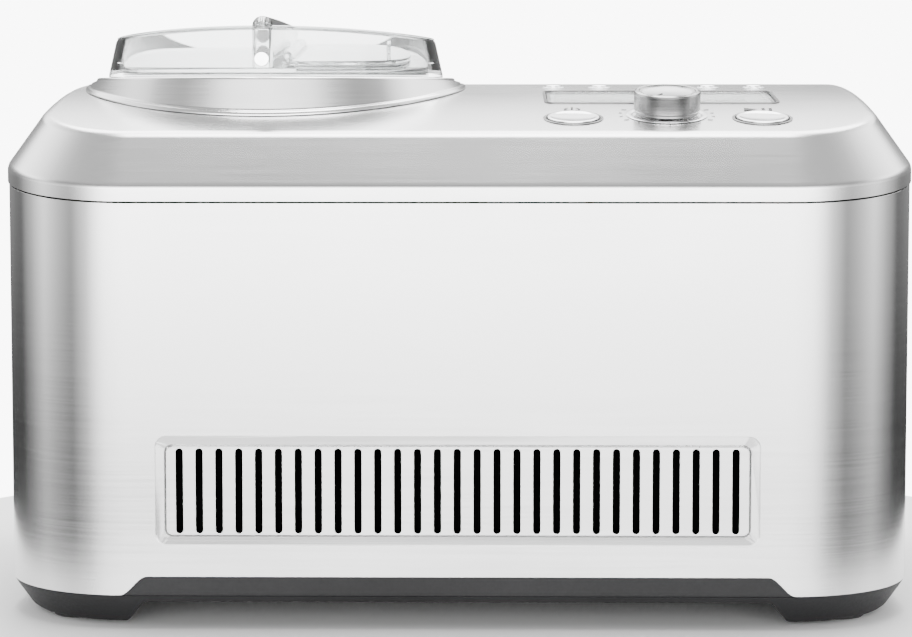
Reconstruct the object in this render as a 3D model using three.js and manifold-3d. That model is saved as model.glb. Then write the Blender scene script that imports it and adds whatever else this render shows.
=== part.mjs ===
// Countertop ice cream maker with its own compressor, a lift-out bowl and a clear lid.
// Units are millimetres. +Z is up, the front faces -Y, and the origin is on the worktop
// under the middle of the housing. Every solid is closed, and neighbours keep a small gap.
import * as THREE from "three";
import { mergeVertices } from "three/addons/utils/BufferGeometryUtils.js";
import Module from "manifold-3d";

const wasm = await Module();
wasm.setup();

// ---------------------------------------------------------------- driving dimensions
const GAP = 0.3; // between pieces that touch
const RUN = 0.5; // between pieces that move past each other
const PAST = 20; // how far a cut reaches past the wall it opens

// Housing. The height is the crown of the deck, which arches from front to back.
const body = { width: 412, depth: 286, height: 240.6, corner: 60, sheet: 1.2, bottom: 15 };
const deck = { y: 48.6, radius: 711, inset: 16.5, edge: 1.4, wall: 2.5 };
const shoulder = { y: 94, drop: 25.4, radius: 1473, band: 7.8, seam: 0.5, overhang: 0.6, wall: 2.2 };
const base = { arch: 12, floor: 3, taper: 8, edge: 5, bevel: 2, rim: 27, wall: 2.6, sole: 1, slope: 12 };
const foot = { radius: 12, inset: 34, length: 57, sunk: 3, edge: 1, round: 0.8 };
const cutout = { rise: 8.4 }; // how far the arch between the feet rises into the steel wrap

// Air slots, and the windows they close: side, end and margin are measured from the housing's edges.
const slot = { width: 3.3, pitch: 8.73 };
const vent = { side: 73.1, z: 61.6, height: 48.7, corner: 5, sheet: 1.2, lap: 4, margin: 6.5, rail: 5.45 };
const sideVent = { end: 78, y: 6 };
const rear = { side: 66, bottom: 34, drop: 28.6, thick: 2, lap: 6, raised: 1, flush: 0.1, margin: 47,
  shift: 18, slotLength: 52 };
const gland = { radius: 8, flange: 2.5, bore: 3.6, length: 12, side: 28, rise: 12, flush: 0.2 };
const screw = { head: 3.4, stem: 1.6, sunk: 2, length: 9, inset: 9 };

// Bowl, the collar it hangs in and the cold well round it. Most radii step out from the bowl's.
const bowl = { radius: 74.6, wall: 1.2, lip: 3.8, lipThick: 2, floor: 2.5, bottom: 112, round: 7,
  hubRise: 9, hubWall: 4 };
const bowlAt = { margin: 23.1, y: -4 }; // margin: from the housing's left side to the collar
const collar = { rise: 2.8, slack: 0.8, neck: 4.2, wall: 8.8, flange: 4.7, ledge: 1.6, ledgeDrop: 11.6,
  footDrop: 20.8, edge: 1 };
const well = { slack: 1, wall: 1.4, under: 5, floor: 2.5, rim: 2, round: 4, bossWall: 3.7, bossDrop: 21 };
const coil = { tube: 3, turns: 5, rise: 17, drop: 18.3 };
const foam = { slack: 2, wall: 16.3, drop: 2, rimDrop: 24.3, heel: 9, floorGap: 3 };
const stand = { inset: 9.6, wall: 2, flange: 6, flangeThick: 2, window: 12, windowDrop: 25 };

// Lid: a ring wall on a skirt, a plate across it and an upright fin to hold it by.
const lid = { slack: 1.6, skirtWall: 2.6, skirtDrop: 6.4, lip: 3.8, lipThick: 2, lean: 3.9, wall: 3,
  height: 19.3, crown: 4.4, floor: 1.5, plate: 2.5 };
const fin = { width: 9.2, rise: 2.7, bow: 4.4, proud: 0.7, round: 3 };
const hinge = { clear: 1.3, lift: 0.2, barrel: 2.7, pin: 1.2, half: 40, lug: 6, sunk: 0.5 };
const flap = { inset: 8.5, lap: 3, thick: 2, shy: 1, tab: 9, tabInset: 12, tabThick: 2, tabRise: 5 };
const seal = { slack: 0.4, height: 3, rise: 1.4 };

// Drive: motor, belt, spindle, the coupling in the bowl's floor and the paddle.
const shaft = { radius: 6, hex: 0.4, lift: 2, grip: 10, shy: 3 };
const bearing = { ring: 8, height: 9, seal: 3, lowHeight: 20, lowWall: 3, lowFlange: 10, flangeThick: 4 };
const pulley = { radius: 42, motor: 12, drop: 14, height: 10, groove: 1.6 };
const belt = { thick: 2, height: 6.8 };
const motor = { radius: 30, clear: 16, turn: 36, box: 24, boxHigh: 14, below: 6, shaft: 4.2, sunk: 8,
  ear: 8, earHalf: 9, earThick: 3 };
const coupling = { wall: 4.1, drop: 12, shy: 0.6, neck: 5.5, step: 0.5, dogRise: 24 };
const paddle = { hub: 1, rise: 0.8, drop: 17.4, slack: 2, thick: 4.4, bar: 9, step: 5, crown: 30, slant: 6 };

// Cooling: all of it stands on the chassis plate.
const chassis = { side: 20, end: 18, corner: 14, lift: 3, thick: 2 };
const compressor = { side: 28, rear: 29, radius: 52, height: 118, mount: 6, belt: 3, beltHigh: 4, plate: 5 };
const terminal = { half: 18, proud: 12, rise: 42, height: 30 };
const mount = { radius: 7, stud: 3, x: 6, y: 19 };
const condenser = { side: 31, front: 12, bottom: 30, width: 150, depth: 26, height: 106, fins: 25,
  fin: 1.4, spine: 4, bends: 4, bend: 8 };
const fan = { radius: 46, clear: 6, lift: 9, rim: 8, tip: 4, depth: 22, back: 3, blades: 5, hub: 15,
  hubHalf: 7, shaft: 2.5, motor: 17, motorLong: 20, pitch: 0.55, bladeThick: 1.6, shift: -1.5 };
const suction = { tube: 3, angle: 25, stub: 16, rise: 52 };
const power = { lift: 8, behind: 8, beside: 16, width: 96, height: 84, thick: 1.6 };

// Controls, measured back from the front of the housing and in from its right side.
const panel = { side: 111.5 };
const display = { front: 97.4, width: 107, depth: 40, corner: 4, lens: 1.8, sunk: 0.3, module: 9,
  inset: 2 };
const dial = { front: 49.4, radius: 15.1, height: 11.5, edge: 1, shaft: 2, lift: 1, cap: 3.5 };
const encoder = { halfX: 7, halfY: 6, top: 6, bottom: 15, room: 3, roomBack: 6 };
const button = { front: 42.4, offset: 42.6, radius: 11.8, proud: 1.1, edge: 0.5, skirt: 3, stem: 4,
  stemEnd: 9, dished: 9.6, dish: 0.9 };
const key = { front: 139, offsets: [-49, -26.5, 26.5, 49], radius: 4, proud: 1.6, edge: 0.8, skirt: 2.6,
  stem: 2, stemEnd: 8 };
const board = { front: 81, side: 17, ahead: 52, behind: 66, below: 16.8, thick: 1.6 };

// Flats that stand for a full circle: small posts, medium rounds, and the large turned pieces.
const SMALL = 12;
const MEDIUM = 18;
const TURNED = 24;
const LARGE = 32;
const SWEPT = 40;
const CORNER_STEPS = 6; // straight steps in a corner of the housing
const SIDE_STEPS = 5; // and along its sides
const COIL_STEPS = 14; // straight steps in one turn of the coil

// ---------------------------------------------------------------- sizes that follow from them
const halfW = body.width / 2;
const halfD = body.depth / 2;
const rimZ = body.height + collar.rise;
const ledgeZ = rimZ - collar.ledgeDrop;
const collarFoot = rimZ - collar.footDrop;
const plateLow = base.arch + base.floor + chassis.lift;
const plateTop = plateLow + chassis.thick;

const lipRadius = bowl.radius + bowl.lip;
const ledgeRadius = bowl.radius + collar.ledge;
const mouthRadius = lipRadius + collar.slack;
const neckRadius = mouthRadius + collar.neck;
const collarRadius = mouthRadius + collar.wall;
const flangeRadius = collarRadius + collar.flange;
const wellBore = bowl.radius + well.slack;
const wellOuter = wellBore + well.wall;
const wellFloor = bowl.bottom - well.under;
const wellRim = collarFoot - GAP;
const bearingOuter = shaft.radius + bearing.ring;
const bossBore = bearingOuter + GAP;
const bossRadius = bossBore + well.bossWall;
const bossBottom = wellFloor - well.bossDrop;
const coilRadius = (wellOuter + coil.tube + 2 * GAP) / Math.cos(Math.PI / COIL_STEPS);
const coilBottom = wellFloor + coil.rise;
const coilTop = wellRim - coil.drop;
const foamBottom = bossBottom - foam.drop;
const standRadius = wellBore - stand.inset;
const pulleyBottom = foamBottom - pulley.drop;

const bowlX = -halfW + bowlAt.margin + flangeRadius;
const motorTurn = THREE.MathUtils.degToRad(motor.turn);
const motorAway = standRadius + stand.flange + motor.clear + motor.radius;
const motorX = bowlX + motorAway * Math.cos(motorTurn);
const motorY = bowlAt.y + motorAway * Math.sin(motorTurn);

const hexRadius = shaft.radius + shaft.hex;
const spindleTop = bowl.bottom - shaft.shy;
const cupRadius = hexRadius + RUN + coupling.wall;
const cupBottom = bowl.bottom - coupling.drop;
const cupTop = bowl.bottom - coupling.shy;
const dogRadius = coupling.neck - coupling.step;
const dogTop = bowl.bottom + coupling.dogRise;
const hubTop = bowl.bottom + bowl.hubRise;
const hubRadius = coupling.neck + RUN + bowl.hubWall;
const paddleBottom = hubTop + paddle.rise;
const paddleTop = rimZ - paddle.drop;

const skirtRadius = mouthRadius - lid.slack;
const lidBase = skirtRadius + lid.lip;
const lidTop = lidBase - lid.lean;
const lidInner = lidTop - lid.wall;
const lidPlateTop = lid.floor + lid.plate;
const finEnds = lid.height + lid.crown + fin.rise;
const flapRadius = lidInner - flap.inset;
const flapLow = lidPlateTop + GAP;
const hingeX = fin.width / 2 + hinge.clear + hinge.barrel;
const hingeZ = flapLow + hinge.lift + hinge.barrel;

const ventWidth = body.width - 2 * vent.side;
const sideVentWidth = body.depth - 2 * sideVent.end;
const rearWidth = body.width - 2 * rear.side;
const rearInside = halfD - body.sheet - GAP;
const glandX = -rearWidth / 2 + gland.side;
const glandZ = rear.bottom + gland.rise;

const compressorX = halfW - compressor.side - compressor.radius;
const compressorY = halfD - compressor.rear - compressor.radius;
const compressorLow = plateTop + compressor.mount;
const condenserX = halfW - condenser.side - condenser.width / 2;
const condenserY = -halfD + condenser.front + condenser.depth / 2;
const fanFrame = 2 * (fan.radius + fan.rim);
const fanY = condenserY + condenser.depth / 2 + fan.clear + fan.depth / 2;
const fanZ = plateTop + fan.lift + fanFrame / 2;

const panelX = halfW - panel.side;
const dialY = -halfD + dial.front;
const boardY = -halfD + board.front;

// ---------------------------------------------------------------- solids
// A closed three.js geometry as a solid that can be joined and cut.
function solid(geometry) {
  const bare = new THREE.BufferGeometry();
  bare.setAttribute("position", geometry.getAttribute("position"));
  if (geometry.index) bare.setIndex(geometry.index);
  const merged = mergeVertices(bare, 1e-3);
  const index = merged.index.array;
  const kept = [];
  for (let i = 0; i < index.length; i += 3) {
    const [a, b, c] = [index[i], index[i + 1], index[i + 2]];
    if (a !== b && b !== c && c !== a) kept.push(a, b, c);
  }
  return new wasm.Manifold(new wasm.Mesh({
    numProp: 3,
    vertProperties: new Float32Array(merged.attributes.position.array),
    triVerts: new Uint32Array(kept),
  }));
}

function geometryOf(manifold) {
  const mesh = manifold.getMesh();
  const geometry = new THREE.BufferGeometry();
  geometry.setAttribute("position", new THREE.BufferAttribute(new Float32Array(mesh.vertProperties), 3));
  geometry.setIndex(new THREE.BufferAttribute(new Uint32Array(mesh.triVerts), 1));
  return geometry;
}

const join = (...solids) => solids.reduce((all, next) => all.add(next));
const cut = (from, ...tools) => tools.reduce((left, tool) => left.subtract(tool), from);

// A block between two corners.
function block(x0, x1, y0, y1, z0, z1) {
  const g = new THREE.BoxGeometry(x1 - x0, y1 - y0, z1 - z0);
  return solid(g.translate((x0 + x1) / 2, (y0 + y1) / 2, (z0 + z1) / 2));
}

// An upright cylinder, or a cone when the top radius is given.
function post(radius, z0, z1, x = 0, y = 0, sides = MEDIUM, topRadius = radius) {
  const g = new THREE.CylinderGeometry(topRadius, radius, z1 - z0, sides);
  return solid(g.rotateX(Math.PI / 2).translate(x, y, (z0 + z1) / 2));
}

// A cylinder lying along Y, from y0 to y1.
function rod(radius, y0, y1, x, z, sides = SMALL) {
  const g = new THREE.CylinderGeometry(radius, radius, y1 - y0, sides);
  return solid(g.translate(x, (y0 + y1) / 2, z));
}

// A profile of [radius, z] points turned about the Z axis.
function turned(profile, sides = LARGE) {
  const points = profile.map(([r, z]) => new THREE.Vector2(r, z));
  const g = new THREE.LatheGeometry(points, sides);
  const made = solid(g.rotateX(Math.PI / 2));
  return made.volume() > 0 ? made : solid(flipped(g));
}

function flipped(geometry) {
  const g = geometry.clone();
  const index = g.index.array;
  for (let i = 0; i < index.length; i += 3) [index[i], index[i + 1]] = [index[i + 1], index[i]];
  return g;
}

// A closed ring of profiles: profile(angle) gives its [radius, z] points, counter-clockwise.
function swept(profile, sides = SWEPT) {
  const positions = [];
  const index = [];
  const n = profile(0).length;
  for (let i = 0; i < sides; i++) {
    const a = (i / sides) * 2 * Math.PI;
    for (const [r, z] of profile(a)) positions.push(r * Math.cos(a), r * Math.sin(a), z);
  }
  for (let i = 0; i < sides; i++) {
    for (let k = 0; k < n; k++) {
      const [p, q] = [i * n, ((i + 1) % sides) * n];
      const l = (k + 1) % n;
      index.push(p + k, q + k, q + l, p + k, q + l, p + l);
    }
  }
  const g = new THREE.BufferGeometry();
  g.setAttribute("position", new THREE.Float32BufferAttribute(positions, 3));
  g.setIndex(index);
  const made = solid(g);
  return made.volume() > 0 ? made : solid(flipped(g));
}

// A flat outline extruded along Z from z0 to z1.
function extruded(shape, z0, z1, curveSegments = 4) {
  const g = new THREE.ExtrudeGeometry(shape, { depth: z1 - z0, bevelEnabled: false, curveSegments });
  return solid(g.translate(0, 0, z0));
}

// The same outline, drawn in X and Z, extruded along Y from y0 to y1.
function extrudedY(shape, y0, y1, curveSegments = 4) {
  const g = new THREE.ExtrudeGeometry(shape, { depth: y1 - y0, bevelEnabled: false, curveSegments });
  return solid(g.rotateX(Math.PI / 2).translate(0, y1, 0));
}

// The same outline, drawn in Y and Z, extruded along X from x0 to x1.
function extrudedX(shape, x0, x1, curveSegments = 4) {
  const g = new THREE.ExtrudeGeometry(shape, { depth: x1 - x0, bevelEnabled: false, curveSegments });
  return solid(g.rotateX(Math.PI / 2).rotateZ(Math.PI / 2).translate(x0, 0, 0));
}

// A round tube along a curve.
function pipe(points, radius, steps, sides = 8) {
  const circle = new THREE.Shape();
  for (let i = 0; i < sides; i++) {
    const a = (i / sides) * 2 * Math.PI;
    circle[i ? "lineTo" : "moveTo"](radius * Math.cos(a), radius * Math.sin(a));
  }
  const path = new THREE.CatmullRomCurve3(points.map((p) => new THREE.Vector3(...p)), false, "centripetal");
  const made = new THREE.ExtrudeGeometry(circle, { steps, bevelEnabled: false, extrudePath: path });
  const tube = solid(made);
  if (tube.volume() > 0) return tube;
  const bare = new THREE.BufferGeometry().setAttribute("position", made.getAttribute("position"));
  return solid(flipped(mergeVertices(bare, 1e-3)));
}

function roundedRect(w, h, r, cx = 0, cy = 0) {
  const [x0, x1, y0, y1] = [cx - w / 2, cx + w / 2, cy - h / 2, cy + h / 2];
  const s = new THREE.Shape();
  s.moveTo(x0 + r, y0);
  s.lineTo(x1 - r, y0);
  s.absarc(x1 - r, y0 + r, r, -Math.PI / 2, 0);
  s.lineTo(x1, y1 - r);
  s.absarc(x1 - r, y1 - r, r, 0, Math.PI / 2);
  s.lineTo(x0 + r, y1);
  s.absarc(x0 + r, y1 - r, r, Math.PI / 2, Math.PI);
  s.lineTo(x0, y0 + r);
  s.absarc(x0 + r, y0 + r, r, Math.PI, 1.5 * Math.PI);
  return s;
}

function hexagon(r, z0, z1, x = 0, y = 0) {
  return post(r, z0, z1, x, y, 6);
}

// ---------------------------------------------------------------- the housing's outline
// Height of a line that arches from front to back.
function archZ(crown, arch, y) {
  return crown - arch.radius + Math.sqrt(arch.radius ** 2 - (y - arch.y) ** 2);
}
const deckZ = (y) => archZ(body.height, deck, y);
const shoulderZ = (y) => archZ(body.height - shoulder.drop, shoulder, y);
const seamZ = (y) => shoulderZ(y) - shoulder.band;
const deckTilt = (y) => Math.asin((deck.y - y) / deck.radius);
const rearTop = seamZ(halfD) - rear.drop;

// The rounded rectangle of the housing, set in by inset, as a right-hand chain and its mirror.
function chain(inset) {
  const [hw, hd, r] = [halfW - inset, halfD - inset, body.corner - inset];
  const points = [];
  for (let i = 0; i <= CORNER_STEPS; i++) {
    const a = -Math.PI / 2 + (i / CORNER_STEPS) * (Math.PI / 2);
    points.push([hw - r + r * Math.cos(a), -(hd - r) + r * Math.sin(a)]);
  }
  for (let i = 1; i < SIDE_STEPS; i++) points.push([hw, -(hd - r) + (2 * (hd - r) * i) / SIDE_STEPS]);
  for (let i = 0; i <= CORNER_STEPS; i++) {
    const a = (i / CORNER_STEPS) * (Math.PI / 2);
    points.push([hw - r + r * Math.cos(a), hd - r + r * Math.sin(a)]);
  }
  return points;
}

// A solid through levels of that outline, each { inset, z } with z a height or a function of y.
function loft(levels) {
  const positions = [];
  const index = [];
  const m = chain(0).length;
  const n = 2 * m;
  for (const { inset, z } of levels) {
    const right = chain(inset);
    const ring = [...right, ...right.map(([x, y]) => [-x, y]).reverse()];
    for (const [x, y] of ring) positions.push(x, y, typeof z === "function" ? z(y) : z);
  }
  for (let k = 0; k + 1 < levels.length; k++) {
    for (let i = 0; i < n; i++) {
      const [a, b] = [k * n + i, k * n + ((i + 1) % n)];
      index.push(a, b, b + n, a, b + n, a + n);
    }
  }
  const last = (levels.length - 1) * n;
  for (let i = 0; i + 1 < m; i++) {
    const [r0, r1, l0, l1] = [i, i + 1, n - 1 - i, n - 2 - i];
    index.push(l0, r1, r0, l0, l1, r1);
    index.push(last + l0, last + r0, last + r1, last + l0, last + r1, last + l1);
  }
  const g = new THREE.BufferGeometry();
  g.setAttribute("position", new THREE.Float32BufferAttribute(positions, 3));
  g.setIndex(index);
  return solid(g);
}

// The arch between two feet as an outline that opens downwards.
function archway(halfWidth, bottom, top) {
  const { slope } = base;
  const s = new THREE.Shape();
  s.moveTo(-halfWidth, bottom - PAST);
  s.lineTo(halfWidth, bottom - PAST);
  s.lineTo(halfWidth, bottom);
  s.bezierCurveTo(halfWidth - slope / 2, bottom, halfWidth - slope / 2, top, halfWidth - slope, top);
  s.lineTo(-halfWidth + slope, top);
  s.bezierCurveTo(-halfWidth + slope / 2, top, -halfWidth + slope / 2, bottom, -halfWidth, bottom);
  return s;
}

// How many slots fit across a width with a margin at each end.
function slotCount(width, margin) {
  return 1 + Math.floor((width - 2 * margin - slot.width) / slot.pitch);
}

// A row of upright slots with tapered ends, about (cx, cz).
function slotRow(count, length, cx, cz) {
  const half = slot.width / 2;
  const [top, bottom] = [cz + length / 2, cz - length / 2];
  const outlines = [];
  for (let i = 0; i < count; i++) {
    const x = cx + (i - (count - 1) / 2) * slot.pitch;
    const s = new THREE.Shape();
    s.moveTo(x, bottom);
    s.lineTo(x + half, bottom + half);
    s.lineTo(x + half, top - half);
    s.lineTo(x, top);
    s.lineTo(x - half, top - half);
    s.lineTo(x - half, bottom + half);
    outlines.push(s);
  }
  return outlines;
}

// ---------------------------------------------------------------- the object as a scene
const steel = { color: 0xc9cacc, roughness: 0.3, metalness: 1 };
const silver = { color: 0xc4c5c7, roughness: 0.38, metalness: 0.6 };
const black = { color: 0x2b2b2c, roughness: 0.65, metalness: 0 };
const clear = { color: 0xeef2f3, roughness: 0.06, metalness: 0, transparent: true, opacity: 0.35 };
const aluminium = { color: 0xd6d7d9, roughness: 0.28, metalness: 1 };
const galvanised = { color: 0x9da1a4, roughness: 0.5, metalness: 0.9 };
const copper = { color: 0xb87346, roughness: 0.35, metalness: 1 };
const rubber = { color: 0x1d1d1e, roughness: 0.9, metalness: 0 };
const laminate = { color: 0x1f5a35, roughness: 0.6, metalness: 0 };
const white = { color: 0xe9e8e4, roughness: 0.5, metalness: 0 };
const foamWhite = { color: 0xd9d3c0, roughness: 0.95, metalness: 0 };

const maker = new THREE.Group();

function piece(parent, name, manifold, look) {
  const mesh = new THREE.Mesh(geometryOf(manifold), new THREE.MeshStandardMaterial(look));
  mesh.name = name;
  parent.add(mesh);
  return mesh;
}

function groupAt(parent, x, y, z = 0) {
  const g = new THREE.Group();
  g.position.set(x, y, z);
  parent.add(g);
  return g;
}

// A group that stands square on the deck at (x, y).
function deckGroup(x, y) {
  const g = groupAt(maker, x, y, deckZ(y));
  g.rotation.x = deckTilt(y);
  g.updateMatrixWorld(true);
  return g;
}

// A solid drawn in a group's frame, moved to the housing's frame.
function inHousing(group, manifold) {
  const g = geometryOf(manifold).applyMatrix4(group.matrixWorld);
  return solid(g);
}

const bowlGroup = groupAt(maker, bowlX, bowlAt.y);
const lidGroup = groupAt(maker, bowlX, bowlAt.y, rimZ);
const dialGroup = deckGroup(panelX, dialY);
const displayGroup = deckGroup(panelX, -halfD + display.front);
const buttonGroups = [-1, 1].map((side) => deckGroup(panelX + side * button.offset, -halfD + button.front));
const keyGroups = key.offsets.map((x) => deckGroup(panelX + x, -halfD + key.front));

// ---------------------------------------------------------------- housing
// The arches under the front, the back and both sides, between the corner legs.
function footArches(bottom, top) {
  const front = archway(halfW - foot.length, bottom, top);
  const side = archway(halfD - foot.length, bottom, top);
  return [
    extrudedY(front, -halfD - PAST, halfD + PAST, 5),
    extrudedX(side, -halfW - PAST, halfW + PAST, 5),
  ];
}

function footSpots() {
  const [x, y] = [halfW - foot.inset, halfD - foot.inset];
  return [[-x, -y], [x, -y], [-x, y], [x, y]];
}

function basePan() {
  const flange = body.sheet + GAP;
  const tray = loft([
    { inset: base.taper + base.edge, z: base.sole },
    { inset: base.taper, z: base.sole + base.bevel },
    { inset: GAP, z: body.bottom - GAP },
    { inset: flange, z: body.bottom - GAP },
    { inset: flange, z: base.rim },
  ]);
  const hollow = loft([
    { inset: flange + base.wall, z: base.arch + base.floor },
    { inset: flange + base.wall, z: base.rim + PAST },
  ]);
  const sockets = footSpots().map(([x, y]) => {
    return post(foot.radius + GAP, base.sole - PAST, foot.sunk + GAP, x, y);
  });
  return cut(tray, hollow, ...footArches(base.sole, base.arch), ...sockets);
}

// One pad's outline: flat below, with a worn-in edge.
function footPad() {
  const { radius, sunk, edge, round } = foot;
  return turned([[0, 0], [radius - edge, 0], [radius, round], [radius, sunk], [0, sunk]], MEDIUM);
}

function bodyWrap() {
  const { height, corner, z } = vent;
  const outer = loft([{ inset: 0, z: body.bottom }, { inset: 0, z: seamZ }]);
  const inner = loft([
    { inset: body.sheet, z: body.bottom - PAST },
    { inset: body.sheet, z: (y) => seamZ(y) + PAST },
  ]);
  const frontShape = roundedRect(ventWidth, height, corner, 0, z);
  const sideShape = roundedRect(sideVentWidth, height, corner, sideVent.y, z);
  const rearHeight = rearTop - rear.bottom;
  const rearShape = roundedRect(rearWidth, rearHeight, corner, 0, rear.bottom + rearHeight / 2);
  return cut(
    outer,
    inner,
    extrudedY(frontShape, -halfD - PAST, -halfD + PAST),
    extrudedX(sideShape, -halfW - PAST, halfW + PAST),
    extrudedY(rearShape, halfD - PAST, halfD + PAST),
    ...footArches(body.bottom, body.bottom + cutout.rise),
  );
}

// A pressed panel of slots that closes a window from inside, drawn about its own centre.
function ventPanel(width) {
  const { height, corner, lap, sheet, margin, rail } = vent;
  const shape = roundedRect(width + 2 * lap, height + 2 * lap, corner + lap);
  const slots = slotRow(slotCount(width, margin), height - 2 * rail, 0, 0);
  return cut(extrudedY(shape, 0, sheet), ...slots.map((s) => extrudedY(s, -PAST, PAST)));
}

function rearScrewSpots() {
  const x = rearWidth / 2 - screw.inset;
  const [low, high] = [rear.bottom + screw.inset, rearTop - screw.inset];
  return [[-x, low], [x, low], [-x, high], [x, high]];
}

function rearPanel() {
  const height = rearTop - rear.bottom;
  const z = rear.bottom + height / 2;
  const { lap, thick, raised, flush } = rear;
  const plateShape = roundedRect(rearWidth + 2 * lap, height + 2 * lap, vent.corner, 0, z);
  const raisedShape = roundedRect(rearWidth - 2 * GAP, height - 2 * GAP, vent.corner, 0, z);
  const plate = extrudedY(plateShape, rearInside - thick, rearInside, 3);
  const face = extrudedY(raisedShape, rearInside - raised, halfD - flush, 3);
  const slots = slotRow(slotCount(rearWidth, rear.margin), rear.slotLength, rear.shift, z);
  const spots = rearScrewSpots();
  return cut(
    join(plate, face),
    ...slots.map((s) => extrudedY(s, halfD - PAST, halfD + PAST)),
    rod(gland.radius + GAP, halfD - PAST, halfD + PAST, glandX, glandZ),
    ...spots.map(([x, y]) => rod(screw.head + GAP, halfD - screw.sunk - GAP, halfD + PAST, x, y)),
    ...spots.map(([x, y]) => rod(screw.stem + GAP, halfD - PAST, halfD + PAST, x, y)),
  );
}

// A screw that points into the housing, drawn from its own head.
function rearScrew() {
  const stem = rod(screw.stem, -screw.length, -screw.sunk + GAP, 0, 0);
  return join(stem, rod(screw.head, -screw.sunk, -GAP, 0, 0));
}

function cordGland() {
  const { radius, flange, bore, length } = gland;
  const barrel = rod(radius, -length, 0, 0, 0);
  const collarRing = rod(radius + flange, -length, -body.sheet - rear.thick - 2 * GAP, 0, 0);
  return cut(join(barrel, collarRing), rod(bore, -length - PAST, PAST, 0, 0));
}

function topCover() {
  const outer = loft([
    { inset: -shoulder.overhang, z: (y) => seamZ(y) + shoulder.seam },
    { inset: -shoulder.overhang, z: shoulderZ },
    { inset: deck.inset, z: deckZ },
  ]);
  const inner = loft([
    { inset: shoulder.wall, z: (y) => seamZ(y) - PAST },
    { inset: shoulder.wall, z: (y) => shoulderZ(y) - 1 },
    { inset: deck.inset + deck.edge, z: (y) => deckZ(y) - deck.wall },
  ]);
  const mouth = post(neckRadius + RUN, collarFoot - PAST, rimZ + PAST, bowlX, bowlAt.y, SWEPT);
  const windowShape = roundedRect(display.width + GAP, display.depth + GAP, display.corner);
  const through = (group, radius, sides) => inHousing(group, post(radius, -PAST, PAST, 0, 0, sides));
  return cut(
    outer,
    inner,
    mouth,
    inHousing(displayGroup, extruded(windowShape, -PAST, PAST)),
    through(dialGroup, dial.shaft + 2 * RUN, SMALL),
    ...buttonGroups.map((g) => through(g, button.radius + RUN, MEDIUM)),
    ...keyGroups.map((g) => through(g, key.radius + RUN, SMALL)),
  );
}

// The raised ring round the bowl: a level rim on a foot that follows the sloping deck.
function bowlCollar() {
  const { edge } = collar;
  return swept((a) => {
    const onDeck = (r, h) => [r, deckZ(bowlAt.y + r * Math.sin(a)) + h];
    return [
      [neckRadius, collarFoot],
      onDeck(neckRadius, GAP),
      onDeck(flangeRadius, GAP),
      onDeck(flangeRadius - 0.4, 3 * GAP),
      onDeck(collarRadius + 2, 5 * GAP),
      onDeck(collarRadius + 0.6, 10 * GAP),
      [collarRadius, rimZ - edge],
      [collarRadius - edge, rimZ],
      [mouthRadius + edge, rimZ],
      [mouthRadius, rimZ - edge],
      [mouthRadius, ledgeZ],
      [ledgeRadius, ledgeZ],
      [ledgeRadius, collarFoot],
    ];
  });
}

piece(maker, "base_pan", basePan(), black);
const footNames = ["front_left_foot", "front_right_foot", "rear_left_foot", "rear_right_foot"];
footSpots().forEach(([x, y], i) => piece(groupAt(maker, x, y), footNames[i], footPad(), rubber));
piece(maker, "body_wrap", bodyWrap(), steel);

piece(groupAt(maker, 0, -rearInside, vent.z), "front_vent_panel", ventPanel(ventWidth), steel);
[["left_vent_panel", -1], ["right_vent_panel", 1]].forEach(([name, side]) => {
  const g = groupAt(maker, side * (halfW - body.sheet - GAP), sideVent.y, vent.z);
  g.rotation.z = side * Math.PI / 2;
  piece(g, name, ventPanel(sideVentWidth), steel);
});
piece(maker, "rear_panel", rearPanel(), galvanised);
rearScrewSpots().forEach(([x, z], i) => {
  piece(groupAt(maker, x, halfD, z), `rear_screw_${i + 1}`, rearScrew(), galvanised);
});
piece(groupAt(maker, glandX, halfD - gland.flush, glandZ), "cord_gland", cordGland(), rubber);
piece(maker, "top_cover", topCover(), silver);
piece(bowlGroup, "bowl_collar", bowlCollar(), aluminium);

// ---------------------------------------------------------------- cold well
function evaporatorWell() {
  const { floor, rim, round } = well;
  const floorTop = wellFloor + floor;
  return turned([
    [bossBore, bossBottom], [bossRadius, bossBottom], [bossRadius, wellFloor - 2],
    [bossRadius + 2, wellFloor],
    [wellBore - round, wellFloor], [wellOuter, wellFloor + round + 1], [wellOuter, wellRim - rim],
    [neckRadius - 1, wellRim - rim], [neckRadius - 1, wellRim], [wellBore, wellRim],
    [wellBore, floorTop + round], [wellBore - round, floorTop], [bossBore, floorTop], [bossBore, bossBottom],
  ]);
}

function evaporatorCoil() {
  const pitch = (coilTop - coilBottom) / coil.turns;
  const steps = coil.turns * COIL_STEPS;
  const points = [];
  for (let i = 0; i <= steps; i++) {
    const a = (i / COIL_STEPS) * 2 * Math.PI;
    const z = coilBottom + (pitch * i) / COIL_STEPS;
    points.push([coilRadius * Math.cos(a), coilRadius * Math.sin(a), z]);
  }
  return pipe(points, coil.tube, steps, 5);
}

function insulation() {
  const inner = coilRadius + coil.tube + foam.slack;
  const outer = inner + foam.wall;
  const bore = bossRadius + GAP + 1;
  const [heel, low, top] = [coilBottom - foam.heel, wellFloor - foam.floorGap, wellRim - foam.rimDrop];
  return turned([
    [bore, foamBottom], [outer, foamBottom], [outer, top], [inner, top],
    [inner, heel], [inner - 6, low], [bore, low], [bore, foamBottom],
  ], TURNED);
}

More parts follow.
